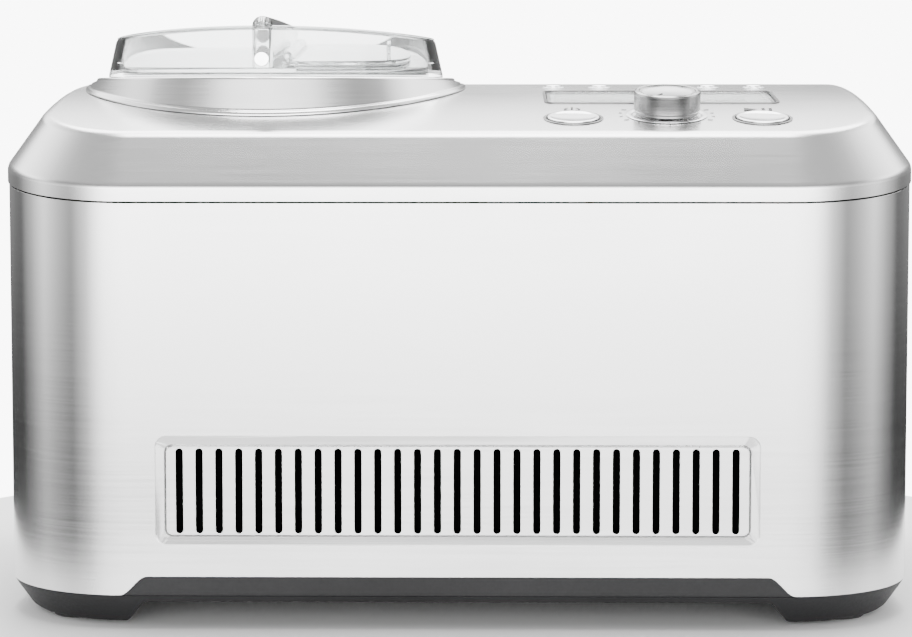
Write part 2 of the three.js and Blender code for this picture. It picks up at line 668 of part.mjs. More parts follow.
// The ring that carries the cold well, open where the belt passes.
function wellStand() {
  const [top, low] = [foamBottom - GAP, plateTop + GAP];
  const outer = standRadius + stand.flange;
  const inner = standRadius - stand.wall;
  const ring = turned([
    [inner, low], [outer, low], [outer, low + stand.flangeThick], [standRadius, low + stand.flangeThick],
    [standRadius, top], [inner, top], [inner, low],
  ], TURNED);
  const side = pulley.radius + stand.window;
  const window = block(0, outer + PAST, -side, side, pulleyBottom - stand.windowDrop, top + PAST);
  return cut(ring, window.rotate([0, 0, motor.turn]));
}

piece(bowlGroup, "evaporator_well", evaporatorWell(), aluminium);
piece(bowlGroup, "evaporator_coil", evaporatorCoil(), copper);
piece(bowlGroup, "insulation", insulation(), foamWhite);
piece(bowlGroup, "well_stand", wellStand(), galvanised);

// ---------------------------------------------------------------- bowl, paddle and drive
function bowlShell() {
  const { wall, radius, lipThick, floor, bottom, round } = bowl;
  const inner = radius - wall;
  const lipLow = ledgeZ + GAP;
  const bore = coupling.neck + RUN;
  const floorTop = bottom + floor;
  return turned([
    [bore, bottom], [radius - round, bottom], [radius - 2, bottom + 2], [radius, bottom + round],
    [radius, lipLow], [lipRadius, lipLow], [lipRadius, lipLow + lipThick], [inner, lipLow + lipThick],
    [inner, floorTop + round - 1], [inner - 2, floorTop + 1.8], [inner - round, floorTop],
    [hubRadius, floorTop], [hubRadius, hubTop], [bore, hubTop], [bore, bottom],
  ]);
}

// The short shaft sealed into the bowl's floor: a socket below and a six-sided dog above.
function bowlShaft() {
  const cup = post(cupRadius, cupBottom, cupTop);
  const neck = post(coupling.neck, cupTop - 1, hubTop + GAP);
  const dog = hexagon(dogRadius, hubTop, dogTop);
  return cut(join(cup, neck, dog), hexagon(hexRadius + RUN, cupBottom - PAST, spindleTop + RUN));
}

// The paddle's flat, in front view: a taller left arm, a sloping top and a scraper each side.
function bladeOutline(hub, reach) {
  const { bar, step } = paddle;
  const [low, foot, top] = [paddleBottom, paddleBottom - step, paddleTop];
  const s = new THREE.Shape();
  s.moveTo(-reach + 8, foot);
  s.lineTo(-hub, foot);
  s.lineTo(-hub, low);
  s.lineTo(hub, low);
  s.lineTo(hub, foot);
  s.lineTo(reach - 8, foot);
  s.quadraticCurveTo(reach, foot + 2, reach, low + 6);
  s.lineTo(reach, top - 34);
  s.lineTo(reach - bar, top - 26);
  s.lineTo(hub, top - 8);
  s.lineTo(-hub, top - 2);
  s.lineTo(-reach + bar, top - 2);
  s.quadraticCurveTo(-reach, top - 2, -reach, top - 12);
  s.lineTo(-reach, low + 6);
  s.quadraticCurveTo(-reach, foot + 2, -reach + 8, foot);
  return s;
}

function bladeWindow(near, far, from, to) {
  const s = new THREE.Shape();
  s.moveTo(near, from);
  s.lineTo(far, from);
  s.lineTo(far, to - paddle.slant);
  s.lineTo(near, to);
  return extrudedY(s, -PAST, PAST);
}

function paddleSolid() {
  const { thick, bar, crown } = paddle;
  const hub = hubRadius + paddle.hub;
  const reach = bowl.radius - bowl.wall - paddle.slack;
  const high = paddleTop - crown;
  const middle = (paddleBottom + high) / 2;
  const windows = [-1, 1].flatMap((side) => [
    bladeWindow(side * (hub + 3), side * (reach - bar), paddleBottom + bar, middle),
    bladeWindow(side * (hub + 3), side * (reach - bar), middle + bar, high),
  ]);
  const blade = cut(extrudedY(bladeOutline(hub - 2, reach), -thick / 2, thick / 2), ...windows);
  const column = post(hub, paddleBottom, paddleTop - 6, 0, 0, MEDIUM, hub - 3);
  const cap = post(hub - 1, paddleTop - 6.5, paddleTop);
  const socket = hexagon(dogRadius + RUN, paddleBottom - PAST, dogTop + RUN);
  const hubRoom = post(hubRadius + 3 * RUN, paddleBottom - PAST, paddleBottom);
  return cut(join(column, cap, blade), socket, hubRoom);
}

function driveSpindle() {
  const hexFrom = spindleTop - shaft.grip;
  const round = post(shaft.radius, plateTop + shaft.lift, hexFrom);
  return join(round, hexagon(hexRadius, hexFrom - RUN, spindleTop));
}

// A belt pulley with side flanges, bored for its shaft.
function beltPulley(radius, bore, sides) {
  const { height, groove } = pulley;
  const bottom = pulleyBottom;
  const lip = (height - belt.height - 1) / 2;
  return turned([
    [bore, bottom], [radius + groove, bottom], [radius + groove, bottom + lip], [radius, bottom + lip],
    [radius, bottom + height - lip], [radius + groove, bottom + height - lip],
    [radius + groove, bottom + height],
    [bore, bottom + height], [bore, bottom],
  ], sides);
}

function flatBelt() {
  const loop = (grow) => {
    const [big, small] = [pulley.radius + grow, pulley.motor + grow];
    const lean = Math.acos((big - small) / motorAway);
    const s = new THREE.Shape();
    s.absarc(0, 0, big, lean, -lean + 2 * Math.PI, false);
    s.absarc(motorAway, 0, small, -lean, lean, false);
    return s;
  };
  const low = pulleyBottom + (pulley.height - belt.height) / 2;
  const band = loop(GAP + belt.thick);
  band.holes.push(loop(GAP));
  return extruded(band, low, low + belt.height, 12).rotate([0, 0, motor.turn]);
}

function ringBush(inner, outer, z0, z1, sides = MEDIUM) {
  return turned([[inner, z0], [outer, z0], [outer, z1], [inner, z1], [inner, z0]], sides);
}

function lowerBearing() {
  const { lowHeight, lowWall, lowFlange, flangeThick } = bearing;
  const flange = post(bearingOuter + lowFlange, plateTop + GAP, plateTop + flangeThick);
  const barrel = post(bearingOuter + lowWall, plateTop + flangeThick - RUN, plateTop + lowHeight);
  const bore = post(shaft.radius + GAP, plateTop + shaft.lift - GAP, plateTop + lowHeight + PAST);
  return cut(join(flange, barrel), bore);
}

piece(bowlGroup, "bowl", bowlShell(), aluminium);
piece(bowlGroup, "bowl_shaft", bowlShaft(), white);
piece(bowlGroup, "paddle", paddleSolid(), white);
piece(bowlGroup, "drive_spindle", driveSpindle(), galvanised);
piece(bowlGroup, "spindle_pulley", beltPulley(pulley.radius, shaft.radius + GAP, TURNED), galvanised);
piece(bowlGroup, "drive_belt", flatBelt(), rubber);
const shaftBore = shaft.radius + GAP;
const sealLow = bossBottom + bearing.height + GAP;
const upperBearing = ringBush(shaftBore, bearingOuter, bossBottom, bossBottom + bearing.height);
piece(bowlGroup, "upper_bearing", upperBearing, galvanised);
const spindleSeal = ringBush(shaftBore, bearingOuter, sealLow, sealLow + bearing.seal);
piece(bowlGroup, "spindle_seal", spindleSeal, rubber);
piece(bowlGroup, "lower_bearing", lowerBearing(), galvanised);

const motorLow = plateTop + GAP;
const motorTop = pulleyBottom - motor.below;

function gearMotor() {
  const { radius, box, boxHigh, ear, earHalf, earThick, sunk } = motor;
  return cut(
    join(
      post(radius, motorLow, motorTop - boxHigh, 0, 0, LARGE),
      post(box, motorTop - boxHigh - RUN, motorTop),
      block(-earHalf, earHalf, -radius - ear, radius + ear, motorLow, motorLow + earThick),
    ),
    post(motor.shaft + GAP, motorTop - sunk, motorTop + PAST),
  );
}

// The small pulley, in one piece with the motor's output shaft.
function motorPulley() {
  const stub = post(motor.shaft, motorTop - motor.sunk + GAP, pulleyBottom + pulley.height);
  return join(stub, beltPulley(pulley.motor, motor.shaft - GAP, MEDIUM));
}

const motorGroup = groupAt(maker, motorX, motorY);
piece(motorGroup, "gear_motor", gearMotor(), galvanised);
piece(motorGroup, "motor_pulley", motorPulley(), aluminium);

// ---------------------------------------------------------------- lid
function lidRim(a) {
  return lid.height + lid.crown * Math.sin(a) ** 2;
}

// The ring wall, whose top edge rises towards the front and back, with a plate across it.
function lidShell() {
  const skirtInner = skirtRadius - lid.skirtWall;
  const wall = swept((a) => [
    [lidInner, lid.floor], [skirtInner, lid.floor], [skirtInner, -lid.skirtDrop],
    [skirtRadius, -lid.skirtDrop], [skirtRadius, GAP], [lidBase, GAP], [lidBase, lid.lipThick],
    [lidTop, lidRim(a)], [lidInner, lidRim(a)],
  ]);
  const plate = post(lidInner + RUN, lid.floor, lidPlateTop, 0, 0, SWEPT);
  const reach = flapRadius - flap.lap;
  const from = Math.acos((hingeX + hinge.barrel + 2) / reach);
  const s = new THREE.Shape();
  s.absarc(0, 0, reach, -from, from, false);
  const mouth = extruded(s, lid.floor - PAST, lidPlateTop + PAST, 10);
  return join(cut(plate, mouth), wall, lidFin(), ...lidLugs());
}

// The upright grip that spans the lid from front to back.
function lidFin() {
  const { proud, round, bow } = fin;
  const half = lidBase + proud;
  const end = lidTop + proud;
  const shoulderAt = lidTop - round - 1;
  const s = new THREE.Shape();
  s.moveTo(-half, GAP);
  s.lineTo(-skirtRadius, GAP);
  s.lineTo(-skirtRadius + 2, lid.floor + 1);
  s.lineTo(skirtRadius - 2, lid.floor + 1);
  s.lineTo(skirtRadius, GAP);
  s.lineTo(half, GAP);
  s.lineTo(end, finEnds - round);
  s.quadraticCurveTo(end, finEnds, shoulderAt, finEnds);
  s.quadraticCurveTo(0, finEnds + 2 * bow, -shoulderAt, finEnds);
  s.quadraticCurveTo(-end, finEnds, -end, finEnds - round);
  return extrudedX(s, -fin.width / 2, fin.width / 2, 5);
}

// The two lugs that hold the flap's pin.
function lidLugs() {
  const { barrel, pin, half, lug } = hinge;
  return [-1, 1].map((side) => {
    const middle = side * (half + RUN + lug / 2);
    const [y0, y1] = [middle - lug / 2, middle + lug / 2];
    const leg = block(hingeX - barrel, hingeX + barrel, y0, y1, lid.floor + 1, hingeZ);
    const bore = rod(pin + GAP, y0 - PAST, y1 + PAST, hingeX, hingeZ);
    return cut(join(rod(barrel, y0, y1, hingeX, hingeZ), leg), bore);
  });
}

function mixInFlap() {
  const { thick, shy, tab, tabInset, tabThick, tabRise } = flap;
  const { barrel, pin, half, lug } = hinge;
  const from = Math.acos((hingeX + shy) / flapRadius);
  const s = new THREE.Shape();
  s.absarc(0, 0, flapRadius, -from, from, false);
  const plate = extruded(s, flapLow, flapLow + thick, 10);
  const lugRoom = [-1, 1].map((side) => {
    const middle = side * (half + RUN + lug / 2);
    const reach = lug / 2 + RUN;
    return block(hingeX - PAST, hingeX + barrel + RUN, middle - reach, middle + reach, -PAST, PAST);
  });
  const knuckle = rod(barrel, -half, half, hingeX, hingeZ);
  const web = block(hingeX, hingeX + barrel, -half, half, flapLow + RUN, hingeZ);
  const tabX = flapRadius - tabInset;
  const grip = block(tabX, tabX + tabThick, -tab, tab, flapLow + 1, flapLow + thick + tabRise);
  const bore = rod(pin + GAP, -PAST - half, half + PAST, hingeX, hingeZ);
  return cut(join(cut(plate, ...lugRoom), knuckle, web, grip), bore);
}

const sealFrom = -lid.skirtDrop + seal.rise;
const sealOuter = mouthRadius - seal.slack;
const sealRing = ringBush(skirtRadius + GAP, sealOuter, sealFrom, sealFrom + seal.height, SWEPT);
const pinHalf = hinge.half + RUN + hinge.lug - hinge.sunk;
piece(lidGroup, "lid", lidShell(), clear);
piece(lidGroup, "lid_seal", sealRing, white);
piece(lidGroup, "mix_in_flap", mixInFlap(), clear);
piece(lidGroup, "flap_hinge_pin", rod(hinge.pin, -pinHalf, pinHalf, hingeX, hingeZ), steel);

// ---------------------------------------------------------------- controls
function displayLens() {
  const shape = roundedRect(display.width - GAP, display.depth - GAP, display.corner);
  return extruded(shape, -display.lens - display.sunk, -display.sunk);
}

function displayModule() {
  const [x, y] = [display.width / 2 - display.inset, display.depth / 2 - display.inset];
  return block(-x, x, -y, y, -display.module, -display.lens - display.sunk - GAP);
}

function dialKnob() {
  const { radius, height, edge, lift, cap } = dial;
  const bore = dial.shaft + GAP;
  return turned([
    [bore, lift], [radius, lift], [radius, height - edge], [radius - edge, height], [0, height],
    [0, height - cap], [bore, height - cap], [bore, lift],
  ], TURNED);
}

function dialEncoder() {
  const { halfX, halfY, top, bottom } = encoder;
  const bore = post(dial.shaft + GAP, -bottom + 3, PAST);
  return cut(block(-halfX, halfX, -halfY, halfY, -bottom, -top), bore);
}

function buttonCap() {
  const { radius, proud, edge, skirt, stem, stemEnd, dished, dish } = button;
  return turned([
    [0, -stemEnd], [stem, -stemEnd], [stem, -skirt], [radius, -skirt], [radius, proud - edge],
    [radius - edge, proud], [dished, proud], [dished * 0.6, proud - dish * 0.64], [0, proud - dish],
  ], TURNED);
}

function keyCap() {
  const { radius, proud, edge, skirt, stem, stemEnd } = key;
  return turned([
    [0, -stemEnd], [stem, -stemEnd], [stem, -skirt], [radius, -skirt], [radius, proud - edge],
    [radius - edge, proud], [0, proud],
  ], SMALL);
}

// The board under the deck that carries the switches, open round the encoder.
function controlBoard() {
  const side = Math.max(...key.offsets) + board.side;
  const ahead = dialY - boardY;
  const { room, roomBack } = encoder;
  const plate = block(-side, side, -board.ahead, board.behind, -board.below - board.thick, -board.below);
  const [x, y] = [encoder.halfX + room, encoder.halfY + roomBack];
  return cut(plate, block(-x, x, ahead - y, ahead + y, -board.below - PAST, PAST));
}

piece(displayGroup, "display_window", displayLens(), clear);
piece(displayGroup, "display_module", displayModule(), black);
piece(dialGroup, "dial_knob", dialKnob(), aluminium);
piece(dialGroup, "dial_encoder", dialEncoder(), black);
const dialShaft = post(dial.shaft, -encoder.bottom + 3 + RUN, dial.height - dial.cap - GAP, 0, 0, SMALL);
piece(dialGroup, "dial_shaft", dialShaft, galvanised);
buttonGroups.forEach((g, i) => piece(g, ["power_button", "start_button"][i], buttonCap(), aluminium));
keyGroups.forEach((g, i) => piece(g, `function_key_${i + 1}`, keyCap(), aluminium));
piece(deckGroup(panelX, boardY), "control_board", controlBoard(), laminate);

// ---------------------------------------------------------------- cooling
function hermeticShell() {
  const { radius, height, belt: band, beltHigh, plate } = compressor;
  const low = compressorLow;
  const top = low + height;
  const middle = low + height / 2;
  const dome = turned([
    [0, low + 4], [radius - 22, low + 4], [radius - 8, low + 10], [radius, low + 26], [radius, middle],
    [radius + band, middle], [radius + band, middle + beltHigh], [radius, middle + beltHigh],
    [radius, top - 34], [radius - 6, top - 16], [radius - 20, top - 5], [radius - 36, top], [0, top],
  ], TURNED);
  const spread = roundedRect(2 * (radius + 4), 2 * (radius - 9), 12);
  const { half, proud, rise, height: boxHigh } = terminal;
  const box = block(-half, half, -radius - proud, -radius + proud, low + rise, low + rise + boxHigh);
  const studs = mountSpots().map(([x, y]) => post(mount.stud, plateTop, low + plate + PAST, x, y, SMALL));
  return cut(join(dome, extruded(spread, low, low + plate), box), ...studs);
}

function mountSpots() {
  const [x, y] = [compressor.radius - mount.x, compressor.radius - mount.y];
  return [[-x, -y], [x, -y], [-x, y], [x, y]];
}

// A finned block: thin fins folded from one spine, with the tube's return bends at one end.
function finBlock() {
  const { width, depth, height, fins, fin: thick, spine, bends, bend } = condenser;
  const [half, back, pitch] = [width / 2, depth / 2, width / fins];
  const s = new THREE.Shape();
  s.moveTo(-half, back);
  for (let i = 0; i < fins; i++) {
    const x = -half + i * pitch;
    s.lineTo(x, -back);
    s.lineTo(x + thick, -back);
    s.lineTo(x + thick, back - spine);
    s.lineTo(x + pitch, back - spine);
  }
  s.lineTo(half, -back);
  s.lineTo(half + thick, -back);
  s.lineTo(half + thick, back);
  const returns = [];
  for (let i = 1; i <= bends; i++) {
    const z = (height * i) / (bends + 1);
    returns.push(block(half + thick - RUN, half + bend, -3, 3, z - 6, z + 6));
  }
  return join(extruded(s, 0, height), ...returns);
}

function fanRotor() {
  const { radius, hub, hubHalf, blades, pitch, bladeThick } = fan;
  const length = radius - hub + 3;
  const made = [];
  for (let i = 0; i < blades; i++) {
    const blade = new THREE.BoxGeometry(24, bladeThick, length).rotateZ(pitch);
    made.push(solid(blade.translate(0, 0, radius - length / 2).rotateY((i * 2 * Math.PI) / blades)));
  }
  const middle = rod(hub, -hubHalf, hubHalf, 0, 0, TURNED);
  return cut(join(middle, ...made), rod(fan.shaft + GAP, -1, PAST, 0, 0));
}

function fanShroud() {
  const { radius, tip, back } = fan;
  const half = fan.depth / 2;
  const frame = extrudedY(roundedRect(fanFrame, fanFrame, 8), -half, half, 3);
  const tunnel = rod(radius + tip, -half - PAST, half + PAST, 0, 0, TURNED);
  const spokes = [0, 1, 2].map((i) => {
    const bar = new THREE.BoxGeometry(2 * (radius + tip + 1), back, 2 * back);
    return solid(bar.translate(0, half - back / 2, 0).rotateY((i * Math.PI) / 3));
  });
  const cup = rod(fan.motor + 2, half - back, half, 0, 0, TURNED);
  return cut(join(cut(frame, tunnel), ...spokes, cup), rod(fan.shaft + RUN, 0, half + PAST, 0, 0));
}

function fanMotor() {
  const half = fan.depth / 2;
  return join(
    rod(fan.motor, half + GAP, half + fan.motorLong, 0, 0, MEDIUM),
    rod(fan.shaft, 0, half + 1, 0, 0),
  );
}

// The pipe from the coil's top end, over the foam and down to the compressor's side.
function suctionPipe() {
  const turn = THREE.MathUtils.degToRad(suction.angle);
  const beside = (away) => [
    compressorX - (compressor.radius + away) * Math.cos(turn),
    compressorY + (compressor.radius + away) * Math.sin(turn),
  ];
  const [kneeX, kneeY] = beside(suction.stub);
  const [endX, endY] = beside(2);
  const startX = bowlX + coilRadius;
  const startY = bowlAt.y + 2 * coil.tube + 4 * GAP;
  const enter = compressorLow + suction.rise;
  return pipe([
    [startX, startY, coilTop + 1], [startX + 4, startY + 13, coilTop + 3],
    [startX + 28, startY + 37, coilTop + 6],
    [kneeX - 2, kneeY - 18, coilTop - 6], [kneeX, kneeY, enter + 42], [kneeX, kneeY, enter + 8],
    [endX, endY, enter],
  ], suction.tube, 26, 6);
}

// The supply board on the rear wall, with its transformer and capacitors kept below the foam.
function powerBoard() {
  const { width, height, thick } = power;
  return join(
    block(0, width, 0, thick, 0, height), block(8, 42, -20, RUN, 4, 38), block(56, 72, -14, RUN, 4, 24),
    block(56, 72, -14, RUN, 30, 50), block(14, 32, -12, RUN, 42, 54),
  );
}

const compressorGroup = groupAt(maker, compressorX, compressorY);
piece(compressorGroup, "compressor", hermeticShell(), black);
mountSpots().forEach(([x, y], i) => {
  const puck = post(mount.radius, plateTop + GAP, compressorLow - GAP);
  piece(groupAt(compressorGroup, x, y), `compressor_mount_${i + 1}`, puck, rubber);
});
piece(groupAt(maker, condenserX, condenserY, condenser.bottom), "condenser", finBlock(), galvanised);
const fanGroup = groupAt(maker, condenserX, fanY, fanZ);
piece(fanGroup, "fan_shroud", fanShroud(), black);
piece(fanGroup, "fan_motor", fanMotor(), galvanised);
piece(groupAt(fanGroup, 0, fan.shift), "fan_rotor", fanRotor(), black);
const plateShape = roundedRect(body.width - 2 * chassis.side, body.depth - 2 * chassis.end,
  body.corner - chassis.corner);
piece(maker, "chassis_plate", extruded(plateShape, plateLow, plateTop, 6), galvanised);
piece(maker, "suction_pipe", suctionPipe(), copper);
const powerY = rearInside - rear.thick - power.behind;
const powerGroup = groupAt(maker, glandX + power.beside, powerY, plateTop + power.lift);
piece(powerGroup, "power_board", powerBoard(), laminate);

maker.updateMatrixWorld(true);
export default maker;
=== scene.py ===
import math

import bmesh
import bpy
from mathutils import Matrix, Vector


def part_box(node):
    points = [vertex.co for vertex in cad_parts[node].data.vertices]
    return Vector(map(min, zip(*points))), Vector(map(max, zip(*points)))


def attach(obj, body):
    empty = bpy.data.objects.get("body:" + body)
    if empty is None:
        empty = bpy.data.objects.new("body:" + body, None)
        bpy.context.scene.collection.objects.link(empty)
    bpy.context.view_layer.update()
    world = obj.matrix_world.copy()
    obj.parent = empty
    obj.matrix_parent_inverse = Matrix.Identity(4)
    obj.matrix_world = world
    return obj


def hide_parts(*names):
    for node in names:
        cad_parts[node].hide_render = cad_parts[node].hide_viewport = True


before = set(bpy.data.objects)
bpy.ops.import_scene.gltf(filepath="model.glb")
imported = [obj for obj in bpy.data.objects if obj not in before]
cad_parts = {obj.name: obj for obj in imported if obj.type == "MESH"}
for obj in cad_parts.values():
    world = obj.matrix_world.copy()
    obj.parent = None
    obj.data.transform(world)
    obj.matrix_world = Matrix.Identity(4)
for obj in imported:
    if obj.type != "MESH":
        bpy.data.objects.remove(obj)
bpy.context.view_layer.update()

# Looks for a countertop ice cream maker. Lengths below are in millimetres unless a comment says
# otherwise, and MM turns them into the frame's metres.
MM = 0.001

# ------------------------------------------------------------------ sizes shared with the frame
WRAP_LOW, WRAP_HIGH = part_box("body_wrap")
HALF_WIDTH = WRAP_HIGH.x / MM
HALF_DEPTH = WRAP_HIGH.y / MM
CORNER = 60
SHEET = 1.2
WRAP_BOTTOM = WRAP_LOW.z / MM
GAP = 0.3

# The deck and the shoulder are shallow arches, given by their highest point and radius.
DECK = {"y": 48.6, "z": 240.6, "radius": 711}
DECK_INSET = 16.5
SHOULDER = {"y": 94, "z": 215.2, "radius": 1473}
BAND = 7.8  # upright edge of the cover, from the shoulder to the seam
OVERHANG = 0.6  # of the cover past the steel
BASE_ARCH = 12  # height of the opening between the legs
FOOT_SPAN = 57
ARCH_SLOPE = 12
CUTOUT_RISE = 8.4
FOOT = {"radius": 12, "inset": 34}
VENT = {"width": 265.8, "height": 48.7, "z": 61.6, "corner": 5}
SLOT = {"width": 3.3, "length": 37.8, "pitch": 8.73}
SIDE_VENT = {"width": 130, "slots": 14, "y": 6}
REAR = {"width": 280, "bottom": 34, "top": 178, "slots": 21, "slot_length": 52, "slot_x": 18}
GLAND = {"radius": 8, "x": -112, "z": 46}
BOWL_AT = (-90.2, -4)
RIM_Z = 243.4
COLLAR = {"foot": 92.7, "wall_foot": 90.0, "wall_rim": 87.4, "lip": 80.2, "inside": 83.4, "bottom": 222.6,
          "ledge": 231.8, "ledge_reach": 76.2}
BOWL = {"outside": 74.6, "inside": 73.4, "bottom": 112, "rim": 234.1, "flange": 78.4, "shaft_hole": 6}
LID = {"inside": 74.9, "outside": 81.4, "skirt": 77.6, "skirt_bottom": -6.4, "plate_low": 1.6,
       "plate_high": 4.0, "rim_edge": 0.9, "mouth": 63}
FIN = {"half_width": 4.6, "reach": 81.4, "top": 28.4, "bow": 0.4, "foot": 4.3}
FLAP = {"radius": 66, "low": 4.3, "high": 6.3}
PANEL_X = 94.5
DIAL_Y = -93.6
BUTTON_Y = -100.6
BUTTON_OFFSET = 42.6
KEY_Y = -4
KEY_OFFSETS = (-49, -26.5, 26.5, 49)
DISPLAY = {"width": 107, "depth": 40, "y": -45.6}
HINGE = {"x": 8.6, "z": 7.2, "barrel": 2.7, "half": 40, "lug": 6, "side_gap": 0.5}
DIAL_KNOB = {"radius": 15.1, "top": 11.5, "bore": 2.3}
BUTTON = {"cap": 11.8, "ring_inside": 12.4, "ring_outside": 13.6, "stem": 4, "mark_offset": 18}
KEY = {"cap": 4, "ring_inside": 4.6, "ring_outside": 5.6, "stem": 2}
MARK_LOW, MARK_HIGH = 0.1, 0.25  # of printed marks, above the deck
ON_AXIS = 0.01  # the radius of a turned shape's point on its axis, just off it
CUT_OUTSIDE, CUT_INSIDE = 5, 20  # how far cutting tools run past the two faces of a wall


def arch_z(arch, y):
    return arch["z"] - arch["radius"] + math.sqrt(arch["radius"] ** 2 - (y - arch["y"]) ** 2)


def deck_z(y):
    return arch_z(DECK, y)


def shoulder_z(y):
    return arch_z(SHOULDER, y)


def seam_z(y):
    return shoulder_z(y) - BAND


def deck_place(x, y):
    """The matrix, in millimetres, of something that stands square on the deck at (x, y)."""
    tilt = math.asin((DECK["y"] - y) / DECK["radius"])
    return Matrix.Translation((x, y, deck_z(y))) @ Matrix.Rotation(tilt, 4, "X")


# ------------------------------------------------------------------ mesh building
def make(name, verts, faces):
    """A mesh object from points in millimetres."""
    mesh = bpy.data.meshes.new(name)
    mesh.from_pydata([Vector(v) * MM for v in verts], [], faces)
    mesh.validate()
    bm = bmesh.new()
    bm.from_mesh(mesh)
    bmesh.ops.remove_doubles(bm, verts=bm.verts, dist=1e-7)
    bmesh.ops.recalc_face_normals(bm, faces=bm.faces)
    bm.to_mesh(mesh)
    bm.free()
    obj = bpy.data.objects.new(name, mesh)
    bpy.context.scene.collection.objects.link(obj)
    return obj


def bake(obj):
    """Applies an object's modifiers."""
    graph = bpy.context.evaluated_depsgraph_get()
    mesh = bpy.data.meshes.new_from_object(obj.evaluated_get(graph))
    obj.modifiers.clear()
    obj.data = mesh
    return obj


def combine(obj, tools, operation="DIFFERENCE"):
    """Cuts the tools from an object, or joins them to it, and deletes the tools."""
    for tool in tools:
        modifier = obj.modifiers.new("boolean", "BOOLEAN")
        modifier.object = tool
        modifier.operation = operation
        modifier.solver = "EXACT"
    bake(obj)
    for tool in tools:
        bpy.data.objects.remove(tool)
    return obj


def bevel(obj, width, segments=3, angle=40):
    modifier = obj.modifiers.new("bevel", "BEVEL")
    modifier.width = width * MM
    modifier.segments = segments
    modifier.limit_method = "ANGLE"
    modifier.angle_limit = math.radians(angle)
    modifier.harden_normals = False
    return bake(obj)


def smooth(obj, angle=32):
    """Smooth shading with sharp edges kept, where large flats keep their own direction."""
    obj.data.shade_smooth()
    obj.data.set_sharp_from_angle(angle=math.radians(angle))
    modifier = obj.modifiers.new("flats", "WEIGHTED_NORMAL")
    modifier.mode = "FACE_AREA"
    modifier.weight = 100
    modifier.keep_sharp = True
    return bake(obj)


def moved(obj, matrix):
    """Moves an object's points by a matrix in millimetres."""
    scale = Matrix.Diagonal((MM, MM, MM, 1))
    obj.data.transform(scale @ matrix @ scale.inverted())
    return obj


def lathe(name, profile, sides=96):
    """Turns [radius, z] points about Z. A point on the axis closes the shape there."""
    verts = []
    faces = []
    count = len(profile)
    for i in range(sides):
        a = 2 * math.pi * i / sides
        verts += [(r * math.cos(a), r * math.sin(a), z) for r, z in profile]
    closed = profile[0][0] > 0
    for i in range(sides):
        here, there = i * count, (i + 1) % sides * count
        for k in range(count if closed else count - 1):
            n = (k + 1) % count
            faces.append((here + k, there + k, there + n, here + n))
    return make(name, verts, faces)


def sweep(name, profile, sides=144):
    """A closed ring whose [radius, z] section is a function of the angle."""
    verts = []
    faces = []
    count = len(profile(0))
    for i in range(sides):
        a = 2 * math.pi * i / sides
        verts += [(r * math.cos(a), r * math.sin(a), z) for r, z in profile(a)]
    for i in range(sides):
        here, there = i * count, (i + 1) % sides * count
        for k in range(count):
            n = (k + 1) % count
            faces.append((here + k, there + k, there + n, here + n))
    return make(name, verts, faces)


def prism(name, outline, low, high, axis="Z"):
    """Extrudes an outline of (u, v) points along an axis.

    An outline is (y, z) along X, (x, z) along Y and (x, y) along Z.
    """
    place = {
        "X": lambda u, v, w: (w, u, v),
        "Y": lambda u, v, w: (u, w, v),
        "Z": lambda u, v, w: (u, v, w),
    }[axis]
    n = len(outline)
    verts = [place(u, v, low) for u, v in outline] + [place(u, v, high) for u, v in outline]
    faces = [tuple(range(n)), tuple(range(2 * n - 1, n - 1, -1))]
    faces += [(i, (i + 1) % n, n + (i + 1) % n, n + i) for i in range(n)]
    return make(name, verts, faces)


def circle(radius, u=0, v=0, sides=48):
    angles = [2 * math.pi * i / sides for i in range(sides)]
    return [(u + radius * math.cos(a), v + radius * math.sin(a)) for a in angles]


def post(name, radius, low, high, x=0, y=0, sides=48):
    """An upright cylinder."""
    return prism(name, circle(radius, x, y, sides), low, high)


def rod(name, radius, low, high, x, z, sides=32):
    """A cylinder lying along Y."""
    return prism(name, circle(radius, x, z, sides), low, high, "Y")


def rounded(width, height, radius, u=0, v=0, steps=8):
    """A rectangle with round corners about (u, v)."""
    points = []
    for corner, (su, sv) in enumerate(((1, 1), (-1, 1), (-1, -1), (1, -1))):
        for i in range(steps + 1):
            a = (corner + i / steps) * math.pi / 2
            points.append((u + su * (width / 2 - radius) + radius * math.cos(a),
                           v + sv * (height / 2 - radius) + radius * math.sin(a)))
    return points


def chain(inset, corner_steps=16, side_steps=24):
    """The right-hand half of the housing's plan outline, set in by inset."""
    hw, hd, r = HALF_WIDTH - inset, HALF_DEPTH - inset, CORNER - inset
    points = []
    for i in range(corner_steps + 1):
        a = -math.pi / 2 + i / corner_steps * math.pi / 2
        points.append((hw - r + r * math.cos(a), -(hd - r) + r * math.sin(a)))
    for i in range(1, side_steps):
        points.append((hw, -(hd - r) + 2 * (hd - r) * i / side_steps))
    for i in range(corner_steps + 1):
        a = i / corner_steps * math.pi / 2
        points.append((hw - r + r * math.cos(a), hd - r + r * math.sin(a)))
    return points


def loft(name, levels):
    """A solid through levels of the plan outline, each (inset, height as a function of y)."""
    verts = []
    faces = []
    half = len(chain(0))
    n = 2 * half
    for inset, height in levels:
        right = chain(inset)
        ring = right + [(-x, y) for x, y in reversed(right)]
        verts += [(x, y, height(y)) for x, y in ring]
    for k in range(len(levels) - 1):
        for i in range(n):
            a, b = k * n + i, k * n + (i + 1) % n
            faces.append((a, b, b + n, a + n))
    last = (len(levels) - 1) * n
    for i in range(half - 1):
        faces.append((n - 1 - i, n - 2 - i, i + 1, i))
        faces.append((last + i, last + i + 1, last + n - 2 - i, last + n - 1 - i))
    return make(name, verts, faces)


def arc_outline(radius, start, steps=40):
    """An arc about the origin, from -start to start, closed by its chord."""
    angles = [-start + 2 * start * i / steps for i in range(steps + 1)]
    return [(radius * math.cos(a), radius * math.sin(a)) for a in angles]


